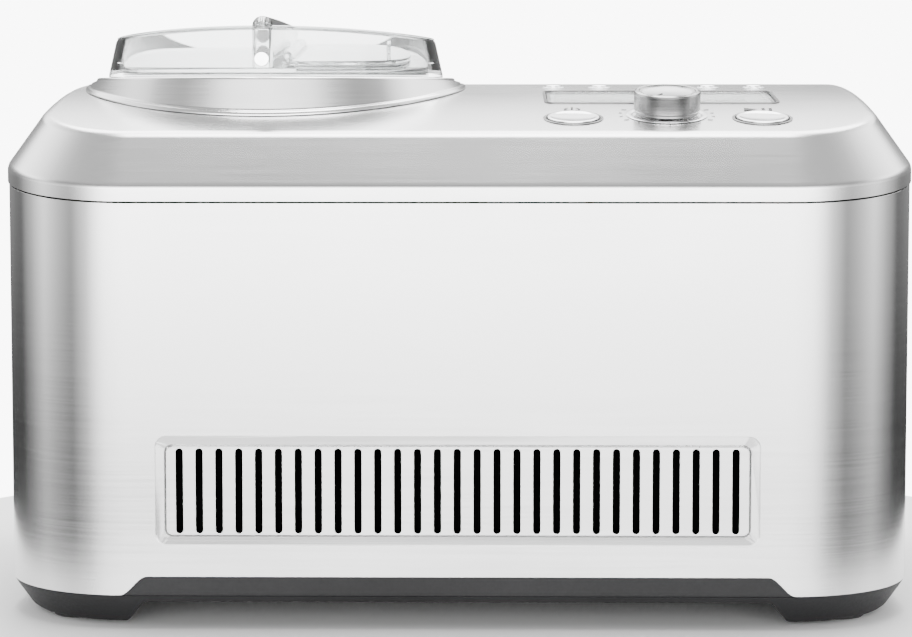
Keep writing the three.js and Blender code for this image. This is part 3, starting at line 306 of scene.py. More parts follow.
def archway(half_width, bottom, top, steps=12):
    """The opening between two feet: a flat top and two S-shaped sides."""
    points = [(-half_width - 2, bottom - CUT_INSIDE), (half_width + 2, bottom - CUT_INSIDE)]
    side = []
    for i in range(steps + 1):
        t = i / steps
        ease = t * t * (3 - 2 * t)
        side.append((half_width - ARCH_SLOPE * t, bottom + (top - bottom) * ease))
    return points + side + [(-u, v) for u, v in reversed(side)]


def arch_tools(bottom, top):
    through = 300
    front = prism("front_arch", archway(HALF_WIDTH - FOOT_SPAN, bottom, top), -through, through, "Y")
    side = prism("side_arch", archway(HALF_DEPTH - FOOT_SPAN, bottom, top), -through, through, "X")
    return [front, side]


# ------------------------------------------------------------------ materials
def shader(name, color, roughness, metallic=0.0, **sockets):
    """A material with its Principled shader, set on the shader's own sockets."""
    material = bpy.data.materials.new(name)
    material.use_nodes = True
    node = material.node_tree.nodes["Principled BSDF"]
    node.inputs["Base Color"].default_value = (*color, 1)
    node.inputs["Roughness"].default_value = roughness
    node.inputs["Metallic"].default_value = metallic
    for socket, value in sockets.items():
        node.inputs[socket.replace("_", " ")].default_value = value
    return material, material.node_tree, node


def grain(tree, scale, detail=4, stretch=(1, 1, 1), seed=0.0):
    """Noise in object space, with its coordinates stretched along each axis."""
    coords = tree.nodes.new("ShaderNodeTexCoord")
    mapping = tree.nodes.new("ShaderNodeMapping")
    mapping.inputs["Scale"].default_value = stretch
    mapping.inputs["Location"].default_value = (seed, seed, seed)
    noise = tree.nodes.new("ShaderNodeTexNoise")
    noise.inputs["Scale"].default_value = scale
    noise.inputs["Detail"].default_value = detail
    tree.links.new(coords.outputs["Object"], mapping.inputs["Vector"])
    tree.links.new(mapping.outputs["Vector"], noise.inputs["Vector"])
    return noise.outputs["Fac"]


def between(tree, value, low, high):
    """A noise value mapped to the range from low to high."""
    node = tree.nodes.new("ShaderNodeMapRange")
    node.inputs["From Min"].default_value = 0.3
    node.inputs["From Max"].default_value = 0.7
    node.inputs["To Min"].default_value = low
    node.inputs["To Max"].default_value = high
    tree.links.new(value, node.inputs["Value"])
    return node.outputs["Result"]


def tinted(tree, node, value, dark, light):
    """Varies the base colour between two tints."""
    ramp = tree.nodes.new("ShaderNodeValToRGB")
    ramp.color_ramp.elements[0].position = 0.3
    ramp.color_ramp.elements[0].color = (*dark, 1)
    ramp.color_ramp.elements[1].position = 0.7
    ramp.color_ramp.elements[1].color = (*light, 1)
    tree.links.new(value, ramp.inputs["Fac"])
    tree.links.new(ramp.outputs["Color"], node.inputs["Base Color"])


def bumped(tree, node, value, strength, distance):
    """Adds fine relief; distance is in millimetres."""
    bump = tree.nodes.new("ShaderNodeBump")
    bump.inputs["Strength"].default_value = strength
    bump.inputs["Distance"].default_value = distance * MM
    tree.links.new(value, bump.inputs["Height"])
    tree.links.new(bump.outputs["Normal"], node.inputs["Normal"])


def brushed(name, tone, roughness, stretch, anisotropy=0.6, variation=0.05):
    """Brushed metal whose lines run along the axis with the smallest stretch."""
    material, tree, node = shader(name, (tone, tone, tone * 1.01), roughness, 1.0, Anisotropic=anisotropy)
    line_scale = 1400
    smudge_scale = 9
    lines = grain(tree, line_scale, 3, stretch)
    smudges = grain(tree, smudge_scale, 3, (1, 1, 1), 4.0)
    tinted(tree, node, lines, (tone - variation,) * 3, (tone + variation * 0.5,) * 3)
    mixed = tree.nodes.new("ShaderNodeMath")
    mixed.operation = "ADD"
    tree.links.new(between(tree, lines, roughness - 0.02, roughness + 0.02), mixed.inputs[0])
    tree.links.new(between(tree, smudges, -0.02, 0.03), mixed.inputs[1])
    tree.links.new(mixed.outputs["Value"], node.inputs["Roughness"])
    bumped(tree, node, lines, 0.008, 0.01)
    if anisotropy:
        quarter_turn = 0.25
        node.inputs["Anisotropic Rotation"].default_value = quarter_turn
        tangent = tree.nodes.new("ShaderNodeTangent")
        tangent.direction_type = "RADIAL"
        tangent.axis = "Z"
        tree.links.new(tangent.outputs["Tangent"], node.inputs["Tangent"])
    return material


def moulded(name, dark, light, roughness, scale=900, relief=0.03, **sockets):
    """Moulded plastic, rubber or paint with a fine grain."""
    material, tree, node = shader(name, light, roughness, **sockets)
    fine = grain(tree, scale, 3)
    broad = grain(tree, 14, 3, (1, 1, 1), 2.0)
    tinted(tree, node, broad, dark, light)
    tree.links.new(between(tree, fine, roughness - 0.06, roughness + 0.06), node.inputs["Roughness"])
    bumped(tree, node, fine, 0.3, relief)
    return material


def metal(name, dark, light, roughness, scale=300):
    """Plated, cast or drawn metal without brush lines."""
    material, tree, node = shader(name, light, roughness, 1.0)
    tinted(tree, node, grain(tree, 40, 4), dark, light)
    tree.links.new(between(tree, grain(tree, scale, 3, (1, 1, 1), 3.0), roughness - 0.05, roughness + 0.08),
                   node.inputs["Roughness"])
    bumped(tree, node, grain(tree, scale * 2, 2), 0.15, 0.01)
    return material


def clear_plastic(name, tint=(0.97, 0.985, 0.98)):
    material, tree, node = shader(name, tint, 0.02, 0.0, Transmission_Weight=1.0, IOR=1.49)
    wear = grain(tree, 60, 4)
    tree.links.new(between(tree, wear, 0.01, 0.05), node.inputs["Roughness"])
    bumped(tree, node, grain(tree, 25, 2, (1, 1, 1), 5.0), 0.1, 0.02)
    return material


STEEL = brushed("brushed_steel", 0.78, 0.20, (0.012, 0.012, 1), 0.75, 0.015)
COVER = brushed("satin_cover", 0.74, 0.24, (0.012, 1, 1), 0.0, 0.02)
RING = brushed("turned_ring", 0.80, 0.20, (0.02, 0.02, 1), 0.5, 0.04)
# a darker copy of the turned metal: the dial's side wall painted as shade, while its top stays bright
SHADED_DIAL = brushed("turned_dial_painted_shade", 0.36, 0.24, (0.03, 0.03, 1), 0.5, 0.04)
POLISHED = metal("polished_metal", (0.80, 0.80, 0.81), (0.88, 0.88, 0.89), 0.12, 120)
ALUMINIUM = metal("satin_aluminium", (0.72, 0.73, 0.74), (0.82, 0.83, 0.84), 0.28)
ZINC = metal("zinc_plate", (0.42, 0.43, 0.45), (0.58, 0.59, 0.61), 0.42)
COPPER = metal("copper_tube", (0.55, 0.25, 0.13), (0.72, 0.38, 0.22), 0.32)
BLACK = moulded("dark_plastic", (0.010, 0.010, 0.0105), (0.016, 0.016, 0.017), 0.55, Specular_IOR_Level=0.25)
# near-black sheet material: painted shade standing in for the dark inside of the housing seen through the
# slots
SHADE_SHEET = moulded("painted_shade_sheet", (0.0012, 0.0012, 0.0012), (0.0025, 0.0025, 0.0025), 0.9, 700, 0.1,
               Specular_IOR_Level=0.03)
RUBBER = moulded("black_rubber", (0.012, 0.012, 0.012), (0.022, 0.022, 0.022), 0.8, 500)
WHITE = moulded("white_plastic", (0.72, 0.72, 0.70), (0.80, 0.80, 0.78), 0.35)
FOAM = moulded("cut_foam", (0.55, 0.48, 0.30), (0.66, 0.60, 0.42), 0.95, 700, 0.3)
BOARD = moulded("circuit_board", (0.01, 0.09, 0.03), (0.02, 0.14, 0.05), 0.45, 600)
ENAMEL = moulded("black_enamel", (0.010, 0.010, 0.011), (0.018, 0.018, 0.020), 0.28, 300)
MARK = moulded("printed_mark", (0.02, 0.02, 0.02), (0.035, 0.035, 0.035), 0.6, 800)
LCD = moulded("display_panel", (0.50, 0.52, 0.50), (0.56, 0.58, 0.56), 0.35, 500, 0.005)
CLEAR = clear_plastic("clear_plastic", (0.80, 0.81, 0.81))
# a darker copy of the clear plastic: painted shade for the dark line along the lid's rim
CLEAR_SHADED = clear_plastic("clear_plastic_painted_shade", (0.30, 0.31, 0.31))
# dark metal: painted shadow round the buttons and the display window
SHADOW_METAL = metal("painted_shadow_metal", (0.12, 0.12, 0.12), (0.18, 0.18, 0.18), 0.3, 200)


def dress(obj, material, body, slot, *nodes):
    """Gives a piece its material and body, and hides the CAD nodes that it stands for."""
    obj.data.materials.clear()
    obj.data.materials.append(material)
    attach(obj, body)
    if nodes:
        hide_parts(*nodes)
    return obj


# ------------------------------------------------------------------ housing
def steel_wrap():
    outer = loft("steel_wrap", [(0, lambda y: WRAP_BOTTOM), (0, seam_z)])
    inner = loft("inner", [(SHEET, lambda y: WRAP_BOTTOM - CUT_OUTSIDE),
                           (SHEET, lambda y: seam_z(y) + CUT_OUTSIDE)])
    front = prism("front_window", rounded(VENT["width"], VENT["height"], VENT["corner"], 0, VENT["z"]),
                  -HALF_DEPTH - CUT_OUTSIDE, -HALF_DEPTH + CUT_INSIDE, "Y")
    side_outline = rounded(SIDE_VENT["width"], VENT["height"], VENT["corner"], SIDE_VENT["y"], VENT["z"])
    sides = prism("side_windows", side_outline, -HALF_WIDTH - CUT_OUTSIDE, HALF_WIDTH + CUT_OUTSIDE, "X")
    height = REAR["top"] - REAR["bottom"]
    rear_outline = rounded(REAR["width"], height, VENT["corner"], 0, REAR["bottom"] + height / 2)
    rear = prism("rear_window", rear_outline, HALF_DEPTH - CUT_INSIDE, HALF_DEPTH + CUT_OUTSIDE, "Y")
    wrap = combine(outer, [inner, front, sides, rear, *arch_tools(WRAP_BOTTOM, WRAP_BOTTOM + CUTOUT_RISE)])
    dress(smooth(bevel(wrap, 0.5, 3)), STEEL, "housing", "brushed_steel", "body_wrap")


def vent_panel(name, width, count, node, matrix):
    """A pressed panel: a channel round its border and a raised field with the slots."""
    thickness = 1.2
    border = 4
    channel = 3.4
    slope = 1.5
    rise = 1.2
    sink = 0.4
    plate = prism(name, rounded(width + 2 * border, VENT["height"] + 2 * border, VENT["corner"] + border),
                  0, thickness, "Y")
    inset = 2 * (channel + slope)
    low = rounded(width - 2 * channel, VENT["height"] - 2 * channel, VENT["corner"] - 1)
    high = rounded(width - inset, VENT["height"] - inset, VENT["corner"] - 2.4)
    n = len(low)
    verts = [(u, sink, v) for u, v in low] + [(u, -rise, v) for u, v in high]
    faces = [tuple(range(n)), tuple(range(2 * n - 1, n - 1, -1))]
    faces += [(i, (i + 1) % n, n + (i + 1) % n, n + i) for i in range(n)]
    combine(plate, [make("field", verts, faces)], "UNION")
    slots = []
    for i in range(count):
        u = (i - (count - 1) / 2) * SLOT["pitch"]
        outline = rounded(SLOT["width"], SLOT["length"], SLOT["width"] / 2 - 0.01, u, 0, 6)
        slots.append(prism("slot", outline, -6, 6, "Y"))
    bpy.context.view_layer.update()
    joined = join_tools(slots)
    combine(plate, [joined])
    bevel(plate, 0.25, 2, 35)
    dress(moved(smooth(plate), matrix), STEEL, "housing", "brushed_steel", node)


def join_tools(tools):
    """Separate tools as one object."""
    bm = bmesh.new()
    for tool in tools:
        bm.from_mesh(tool.data)
    bm.to_mesh(tools[0].data)
    bm.free()
    for tool in tools[1:]:
        bpy.data.objects.remove(tool)
    return tools[0]


def vents():
    inset = SHEET + GAP
    front = Matrix.Translation((0, -HALF_DEPTH + inset, VENT["z"]))
    vent_panel("front_grille", VENT["width"], 29, "front_vent_panel", front)
    for side, name in ((-1, "left"), (1, "right")):
        turn = Matrix.Rotation(side * math.pi / 2, 4, "Z")
        place = Matrix.Translation((side * (HALF_WIDTH - inset), SIDE_VENT["y"], VENT["z"])) @ turn
        vent_panel(f"{name}_grille", SIDE_VENT["width"], SIDE_VENT["slots"], f"{name}_vent_panel", place)
    # a near-black sheet behind the front slots: painted shade for the dark inside of the housing
    screen = prism("vent_painted_shade_sheet", rounded(VENT["width"], VENT["height"], 3, 0, VENT["z"]),
                   -HALF_DEPTH + 8.6, -HALF_DEPTH + 9.6, "Y")
    dress(screen, SHADE_SHEET, "housing", "dark_plastic")


def base():
    pan = loft("base_pan_shell", [
        (18, lambda y: 1.0), (13, lambda y: 1.1), (10, lambda y: 1.8), (8, lambda y: 3.2),
        (2.2, lambda y: 11.4), (0.8, lambda y: 13.6), (GAP, lambda y: WRAP_BOTTOM - GAP),
        (1.5, lambda y: WRAP_BOTTOM - GAP), (1.5, lambda y: 27)])
    hollow = loft("hollow", [(4.1, lambda y: 15), (4.1, lambda y: 30)])
    wells = []
    for x in (-1, 1):
        for y in (-1, 1):
            at = (x * (HALF_WIDTH - FOOT["inset"]), y * (HALF_DEPTH - FOOT["inset"]))
            wells.append(post("well", FOOT["radius"] + GAP, -1, 3 + GAP, *at))
    combine(pan, [hollow, *arch_tools(1, BASE_ARCH), *wells])
    dress(smooth(bevel(pan, 0.6, 3, 50), 40), BLACK, "housing", "dark_plastic", "base_pan")


def feet():
    for fore in ("front", "rear"):
        for side in ("left", "right"):
            node = f"{fore}_{side}_foot"
            low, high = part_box(node)
            centre = (low + high) / 2 / MM
            radius = FOOT["radius"]
            pad = lathe(f"{fore}_{side}_pad", [(0, 0), (7, 0), (7.4, 0.5), (8.2, 0.5), (8.6, 0), (10.6, 0),
                                              (11.6, 0.3), (radius, 1.1), (radius, 3), (0, 3)], 64)
            moved(smooth(pad), Matrix.Translation((centre.x, centre.y, 0)))
            dress(pad, RUBBER, "housing", "black_rubber", node)


def blend_level(levels, weights):
    """A level between others: insets, shares of the way from shoulder to deck, and offsets."""
    return tuple(sum(w * level[i] for level, w in zip(levels, weights)) for i in range(3))


def fillet(first, corner, last, steps=5):
    """Levels of a round edge from first to last about a corner level."""
    return [blend_level((first, corner, last), ((1 - t) ** 2, 2 * t * (1 - t), t * t))
            for t in (i / steps for i in range(steps + 1))]


def cover_shell():
    run = DECK_INSET + OVERHANG
    at = lambda share, offset=0.0: (-OVERHANG + share * run, share, offset)
    section = [(-OVERHANG, 0, -BAND + 0.9)]
    section += fillet((-OVERHANG, 0, -1.6), at(0), at(0.07))
    section += fillet(at(0.90), at(1), (DECK_INSET + 3.4, 1, 0))
    height = lambda share, offset: (lambda y: (1 - share) * shoulder_z(y) + share * deck_z(y) + offset)
    outer = loft("cover_shell", [(inset, height(share, offset)) for inset, share, offset in section])
    inner = loft("inner", [(2.2, lambda y: seam_z(y) - 5), (2.2, lambda y: shoulder_z(y) - 1),
                           (DECK_INSET + 1.4, lambda y: deck_z(y) - 2.5)])
    tools = [inner, post("mouth", 83.9, 200, 260, *BOWL_AT, 144)]
    window = prism("window", rounded(DISPLAY["width"] + GAP, DISPLAY["depth"] + GAP, 4),
                   -CUT_INSIDE, CUT_INSIDE)
    tools.append(moved(window, deck_place(PANEL_X, DISPLAY["y"])))
    tools.append(moved(post("dial_hole", 3, -CUT_INSIDE, CUT_INSIDE), deck_place(PANEL_X, DIAL_Y)))
    for side in (-1, 1):
        place = deck_place(PANEL_X + side * BUTTON_OFFSET, BUTTON_Y)
        hole = post("button_hole", BUTTON["cap"] + 0.5, -CUT_INSIDE, CUT_INSIDE, 0, 0, 96)
        tools.append(moved(hole, place))
    for offset in KEY_OFFSETS:
        place = deck_place(PANEL_X + offset, KEY_Y)
        tools.append(moved(post("key_hole", KEY["cap"] + 0.5, -CUT_INSIDE, CUT_INSIDE), place))
    combine(outer, tools)
    bevel(outer, 0.3, 2, 50)
    dress(smooth(outer, 25), COVER, "housing", "silver_cover", "top_cover")


def collar():
    def section(a):
        deck = deck_z(BOWL_AT[1] + 88 * math.sin(a)) + GAP
        room = min(1.0, (RIM_Z - deck - 1.4) / 3.2)  # flattens the foot where the deck nears the rim
        on_deck = lambda r, h: (r, deck_z(BOWL_AT[1] + r * math.sin(a)) + GAP + h * room)
        edge = 1.2
        top = [(COLLAR["wall_rim"] - edge + edge * math.cos(t), RIM_Z - edge + edge * math.sin(t))
               for t in (math.pi / 2 * i / 5 for i in range(6))]
        lip = [(COLLAR["lip"] - math.sin(t), RIM_Z - 1 + math.cos(t))
               for t in (math.pi / 2 * i / 4 for i in range(5))]
        foot, wall = COLLAR["foot"], COLLAR["wall_foot"]
        return [(COLLAR["inside"], COLLAR["bottom"]), on_deck(COLLAR["inside"], 0),
                on_deck(foot, 0), on_deck(foot, 0.5), on_deck(foot - 0.5, 1.1), on_deck(foot - 0.8, 1.5),
                on_deck(foot - 1.5, 1.7), on_deck(wall + 0.6, 1.7), on_deck(wall + 0.2, 2.0),
                on_deck(wall, 2.6), *top, *lip, (COLLAR["lip"] - 1, COLLAR["ledge"]),
                (COLLAR["ledge_reach"], COLLAR["ledge"]), (COLLAR["ledge_reach"], COLLAR["bottom"])]
    ring = sweep("collar_ring", section, 192)
    moved(smooth(ring, 35), Matrix.Translation((*BOWL_AT, 0)))
    dress(ring, RING, "housing", "satin_aluminium", "bowl_collar")


# ------------------------------------------------------------------ lid
def rim_height(a):
    """The wall's top is higher at the front and back than at the sides."""
    return 19.3 + 4.4 * math.sin(a) ** 2


def lid_fin():
    """The grip: a rounded ridge from front to back, a little higher in the middle."""
    half_width, reach, foot = FIN["half_width"], FIN["reach"], FIN["foot"]
    stations = 40
    verts = []
    faces = []
    arc = 10
    count = arc + 3
    for s in range(stations + 1):
        t = s / stations
        y = -reach + 2 * reach * t
        edge = min(t, 1 - t) * 2 * reach
        top = FIN["top"] - FIN["bow"] * (y / reach) ** 2
        top -= 4.0 * max(0.0, 1 - edge / 4.0) ** 2
        inset = 1.2 * max(0.0, 1 - edge / 1.5) ** 2
        w = half_width - inset
        verts.append((-w, y, foot))
        for i in range(arc + 1):
            a = math.pi * (1 - i / arc)
            verts.append((w * math.cos(a), y, top - w + w * math.sin(a)))
        verts.append((w, y, foot))
    for s in range(stations):
        for k in range(count):
            n = (k + 1) % count
            faces.append((s * count + k, (s + 1) * count + k, (s + 1) * count + n, s * count + n))
    faces.append(tuple(range(count)))
    faces.append(tuple(range((stations + 1) * count - 1, stations * count - 1, -1)))
    return make("lid_fin", verts, faces)


def lid_wall(a):
    """The ring wall's section, without the band of painted shade on its top."""
    top = rim_height(a) - LID["rim_edge"]
    inside, outside = LID["inside"], LID["outside"]
    skirt, bottom = LID["skirt"], LID["skirt_bottom"]
    return [(inside, LID["plate_low"]), (inside + 0.1, bottom), (skirt, bottom), (skirt, GAP), (outside, GAP),
            (outside + 0.1, 0.8), (outside, 2.0), (78.0, top - 1.4), (77.5, top - 0.4), (76.6, top),
            (75.2, top), (74.6, top - 0.6), (74.5, top - 1.6), (inside, LID["plate_high"])]


def lid_rim(a):
    """The section of the band on the wall's top, which carries a darker copy of the clear plastic as painted
    shade along the rim.
    """
    top = rim_height(a)
    low = top - LID["rim_edge"] + 0.02
    inside, outside = LID["inside"], 77.3
    shoulder = top - 0.35
    return [(inside, low), (outside, low), (outside, shoulder), (76.7, top), (75.2, top), (inside, shoulder)]


def lid():
    place = Matrix.Translation((*BOWL_AT, RIM_Z))
    ring = moved(smooth(sweep("lid_wall", lid_wall, 160), 40), place)
    dress(ring, CLEAR, "lid_body", "clear_plastic", "lid")
    # the rim's top band in the darker clear plastic: painted shade along the rim
    rim = moved(smooth(sweep("lid_rim_painted_shade", lid_rim, 160), 40), place)
    dress(rim, CLEAR_SHADED, "lid_body", "clear_plastic")

    low, high = LID["plate_low"], LID["plate_high"]
    start = math.acos((HINGE["x"] + HINGE["barrel"] + 2) / LID["mouth"])
    mouth = prism("mouth", arc_outline(LID["mouth"], start), 0, high + 2)
    plate = combine(post("lid_plate", LID["inside"] - GAP, low, high, 0, 0, 160), [mouth])
    dress(moved(smooth(bevel(plate, 0.4, 2)), place), CLEAR, "lid_body", "clear_plastic")

    dress(moved(smooth(lid_fin(), 40), place), CLEAR, "lid_body", "clear_plastic")
    for side, name in ((-1, "front"), (1, "rear")):
        hinge_lug(side, f"{name}_hinge_lug", place)
        middle = side * (FIN["reach"] + 0.2)
        boss = rod(f"{name}_boss", 3.4, middle - 0.5, middle + 0.5, 0, 8.2)
        dress(moved(smooth(bevel(boss, 0.3, 2)), place), POLISHED, "lid_body", "brushed_steel")
    lid_gasket(place)
    half = HINGE["half"] + HINGE["lug"]
    pin = rod("hinge_pin", 1.2, -half, half, HINGE["x"], HINGE["z"], 24)
    dress(moved(smooth(bevel(pin, 0.2, 2)), place), POLISHED, "lid_body", "brushed_steel", "flap_hinge_pin")


def hinge_lug(side, name, place):
    """One of the two eyes that hold the flap's pin."""
    near = side * (HINGE["half"] + HINGE["side_gap"])
    far = side * (HINGE["half"] + HINGE["side_gap"] + HINGE["lug"])
    low, high = min(near, far), max(near, far)
    lug = rod(name, HINGE["barrel"], low, high, HINGE["x"], HINGE["z"])
    foot = prism("lug_foot", [(6, FIN["foot"]), (11.2, FIN["foot"]), (11.2, 7), (6, 7)], low, high, "Y")
    combine(lug, [foot], "UNION")
    dress(moved(smooth(bevel(lug, 0.3, 2)), place), CLEAR, "lid_body", "clear_plastic")


def lid_gasket(place):
    """A ring with two soft lips round the lid's skirt."""
    root = 77.9
    groove = 78.5
    tip = 78.8
    seal = [(root, -5.0), (groove, -5.0), (tip, -4.6), (groove, -4.0), (78.3, -3.5), (groove, -3.0),
            (tip, -2.4), (groove, -2.0), (root, -2.0)]
    ring = moved(smooth(lathe("lid_gasket", seal, 160)), place)
    dress(ring, WHITE, "lid_body", "white_plastic", "lid_seal")


def mix_in_flap():
    place = Matrix.Translation((*BOWL_AT, RIM_Z))
    start = math.acos((HINGE["x"] + 1) / FLAP["radius"])
    plate = prism("flap", arc_outline(FLAP["radius"], start), FLAP["low"], FLAP["high"])
    rooms = []
    for side in (-1, 1):
        middle = side * (HINGE["half"] + HINGE["side_gap"] + HINGE["lug"] / 2)
        rooms.append(prism("room", rounded(16, HINGE["lug"] + 1, 0.5, HINGE["x"] - 4.8, middle, 2), 0, 20))
    combine(plate, rooms)
    bevel(plate, 0.4, 2)
    barrel = rod("barrel", HINGE["barrel"], -HINGE["half"], HINGE["half"], HINGE["x"], HINGE["z"])
    bore = rod("bore", 1.5, -HINGE["half"] - 1, HINGE["half"] + 1, HINGE["x"], HINGE["z"], 24)
    combine(plate, [barrel], "UNION")
    combine(plate, [bore])
    tab = prism("tab", rounded(2, 18, 0.9, 55, 0, 4), FLAP["high"] - 0.3, FLAP["high"] + 5)
    combine(plate, [bevel(tab, 0.5, 2)], "UNION")
    dress(moved(smooth(plate, 35), place), CLEAR, "flap", "clear_plastic", "mix_in_flap")


# ------------------------------------------------------------------ controls
def dial():
    place = deck_place(PANEL_X, DIAL_Y)
    r, top, bore = DIAL_KNOB["radius"], DIAL_KNOB["top"], DIAL_KNOB["bore"]
    profile = [(bore, 1), (14.4, 1), (14.7, 1.3), (14.7, 2.2), (15.0, 2.6), (r, 3.0), (r, top - 1.3),
               (r - 0.4, top - 0.5), (r - 1.2, top), (r - 2.2, top - 0.1), (r - 2.6, top - 0.6),
               (r - 3.4, top - 0.75), (8, top - 0.95), (3, top - 1.05), (ON_AXIS, top - 1.05),
               (ON_AXIS, top - 3.5), (bore, top - 3.5)]
    knob = lathe("dial_body", profile, 128)
    # the knob's side wall is painted darker as shade; the polished inlay below keeps the top bright
    dress(moved(smooth(knob, 25), place), SHADED_DIAL, "dial", "satin_aluminium", "dial_knob")
    inlay = lathe("dial_inlay", [(ON_AXIS, top - 1.03), (r - 4.2, top - 0.99), (r - 3.8, top - 0.72),
                                 (r - 4.6, top - 0.68), (8, top - 0.85), (ON_AXIS, top - 0.9)], 128)
    dress(moved(smooth(inlay), place), POLISHED, "dial", "satin_aluminium")
    mark = prism("dial_pointer", rounded(1.0, 5.0, 0.45, 0, 7.6, 4), top - 0.9, top - 0.6)
    turn = Matrix.Rotation(math.radians(150), 4, "Z")
    dress(moved(mark, place @ turn), MARK, "dial", "dark_plastic")
    skirt = lathe("dial_skirt", [(15.6, 0.15), (18.6, 0.15), (18.6, 0.35), (18.2, 0.55), (16.4, 0.55),
                                 (15.8, 0.35)], 128)
    dress(moved(smooth(skirt), place), POLISHED, "housing", "satin_aluminium")
    dial_scale(place)


def dial_scale(place):
    """Ticks round the dial, each third one longer."""
    inside = 20.4
    for i in range(13):
        a = math.radians(-210 + i * 20)
        length = 2.6 if i % 3 == 0 else 1.5
        outline = rounded(length, 0.5, 0.2, inside + length / 2, 0, 3)
        tick = prism(f"scale_mark_{i + 1}", outline, MARK_LOW, MARK_HIGH)
        dress(moved(tick, place @ Matrix.Rotation(a, 4, "Z")), MARK, "housing", "dark_plastic")


def dished_button(name, node, body, place, mark):
    r, stem = BUTTON["cap"], BUTTON["stem"]
    edge = [(ON_AXIS, -9), (stem, -9), (stem, -3), (r, -3), (r, 0.5), (r - 0.2, 0.9), (r - 0.6, 1.1)]
    dish = [(10.4, 1.1), (9.9, 0.9), (8.6, 0.62), (6.5, 0.4), (4, 0.26), (2, 0.21), (ON_AXIS, 0.2)]
    cap = lathe(name, edge + dish, 96)
    dress(moved(smooth(cap, 30), place), POLISHED, body, "satin_aluminium", node)
    inside, outside = BUTTON["ring_inside"], BUTTON["ring_outside"]
    ring = lathe(f"{name}_ring", [(inside, 0.05), (outside, 0.05), (outside, 0.3), (outside - 0.4, 0.5),
                                  (inside + 0.3, 0.45), (inside, 0.3)], 96)
    # the dark ring is painted shadow round the button
    dress(moved(smooth(ring), place), SHADOW_METAL, "housing", "satin_aluminium")
    spot = place @ Matrix.Translation((0, BUTTON["mark_offset"], 0)) @ Matrix.Diagonal((2.0, 1.6, 1, 1))
    dress(moved(mark, spot), MARK, "housing", "dark_plastic")


def power_mark():
    """A broken circle with an upright bar."""
    angles = [math.radians(125 + 290 * i / 24) for i in range(25)]
    outer = [(1.9 * math.cos(a), 1.9 * math.sin(a)) for a in angles]
    inner = [(1.4 * math.cos(a), 1.4 * math.sin(a)) for a in angles]
    arc = prism("power_mark", outer + inner[::-1], MARK_LOW, MARK_HIGH)
    bar = prism("bar", rounded(0.5, 2.0, 0.2, 0, 1.5, 3), MARK_LOW, MARK_HIGH)
    return join_tools([arc, bar])


def start_mark():
    """A triangle beside two bars."""
    triangle = prism("start_mark", [(-3.2, -1.7), (-0.2, 0), (-3.2, 1.7)], MARK_LOW, MARK_HIGH)
    bars = [prism("bar", rounded(0.7, 3.2, 0.2, x, 0, 3), MARK_LOW, MARK_HIGH) for x in (1.2, 2.8)]
    return join_tools([triangle, *bars])


def buttons():
    left = deck_place(PANEL_X - BUTTON_OFFSET, BUTTON_Y)
    right = deck_place(PANEL_X + BUTTON_OFFSET, BUTTON_Y)
    dished_button("power_cap", "power_button", "power", left, power_mark())
    dished_button("start_cap", "start_button", "start", right, start_mark())
    r, stem = KEY["cap"], KEY["stem"]
    inside, outside = KEY["ring_inside"], KEY["ring_outside"]
    for i, offset in enumerate(KEY_OFFSETS, 1):
        place = deck_place(PANEL_X + offset, KEY_Y)
        cap = lathe(f"key_cap_{i}", [(ON_AXIS, -8), (stem, -8), (stem, -2.6), (r, -2.6), (r, 0.5), (3.8, 0.9),
                                     (3.2, 1.3), (2.2, 1.52), (1.0, 1.6), (ON_AXIS, 1.6)], 48)
        dress(moved(smooth(cap, 40), place), POLISHED, f"key_{i}", "satin_aluminium", f"function_key_{i}")
        ring = lathe(f"key_ring_{i}", [(inside, 0.05), (outside, 0.05), (outside, 0.25), (5.2, 0.45),
                                       (inside, 0.3)], 64)
        dress(moved(smooth(ring), place), ALUMINIUM, "housing", "satin_aluminium")


def display():
    place = deck_place(PANEL_X, DISPLAY["y"])
    width, depth = DISPLAY["width"] - GAP, DISPLAY["depth"] - GAP
    lens = prism("display_lens", rounded(width, depth, 4), -2.1, -0.3)
    dress(moved(smooth(bevel(lens, 0.35, 3)), place), CLEAR, "housing", "display_lens", "display_window")
    bezel = combine(prism("display_bezel", rounded(width + 3.2, depth + 3.2, 5), -0.35, 0.25),
                    [prism("well", rounded(width + 0.8, depth + 0.8, 4), -2, 2)])
    # the dark frame is painted shadow round the display window
    dress(moved(smooth(bevel(bezel, 0.12, 2)), place), SHADOW_METAL, "housing", "satin_aluminium")
    panel = prism("display_glass", rounded(width - 8, depth - 8, 1.5), -3.2, -2.6)
    dress(moved(smooth(bevel(panel, 0.2, 2)), place), LCD, "housing", "display_lens")
    tray = combine(prism("display_tray", rounded(width - 4, depth - 4, 2), -9, -2.4),
                   [prism("well", rounded(width - 7, depth - 7, 1.5), -3.3, 0)])
    dress(moved(tray, place), ALUMINIUM, "housing", "dark_plastic", "display_module")
    for i in range(9):
        x = -width / 2 + 14 + i * (width - 28) / 8
        cell = prism(f"display_cell_{i + 1}", rounded(6.4, 2.2 + 0.9 * (i % 4), 0.4, x, -6, 3), -2.59, -2.55)
        dress(moved(cell, place), MARK, "housing", "display_lens")


# ------------------------------------------------------------------ back, bowl and inner parts
BACKWARDS = Matrix.Rotation(-math.pi / 2, 4, "X")  # turns +Z to the back


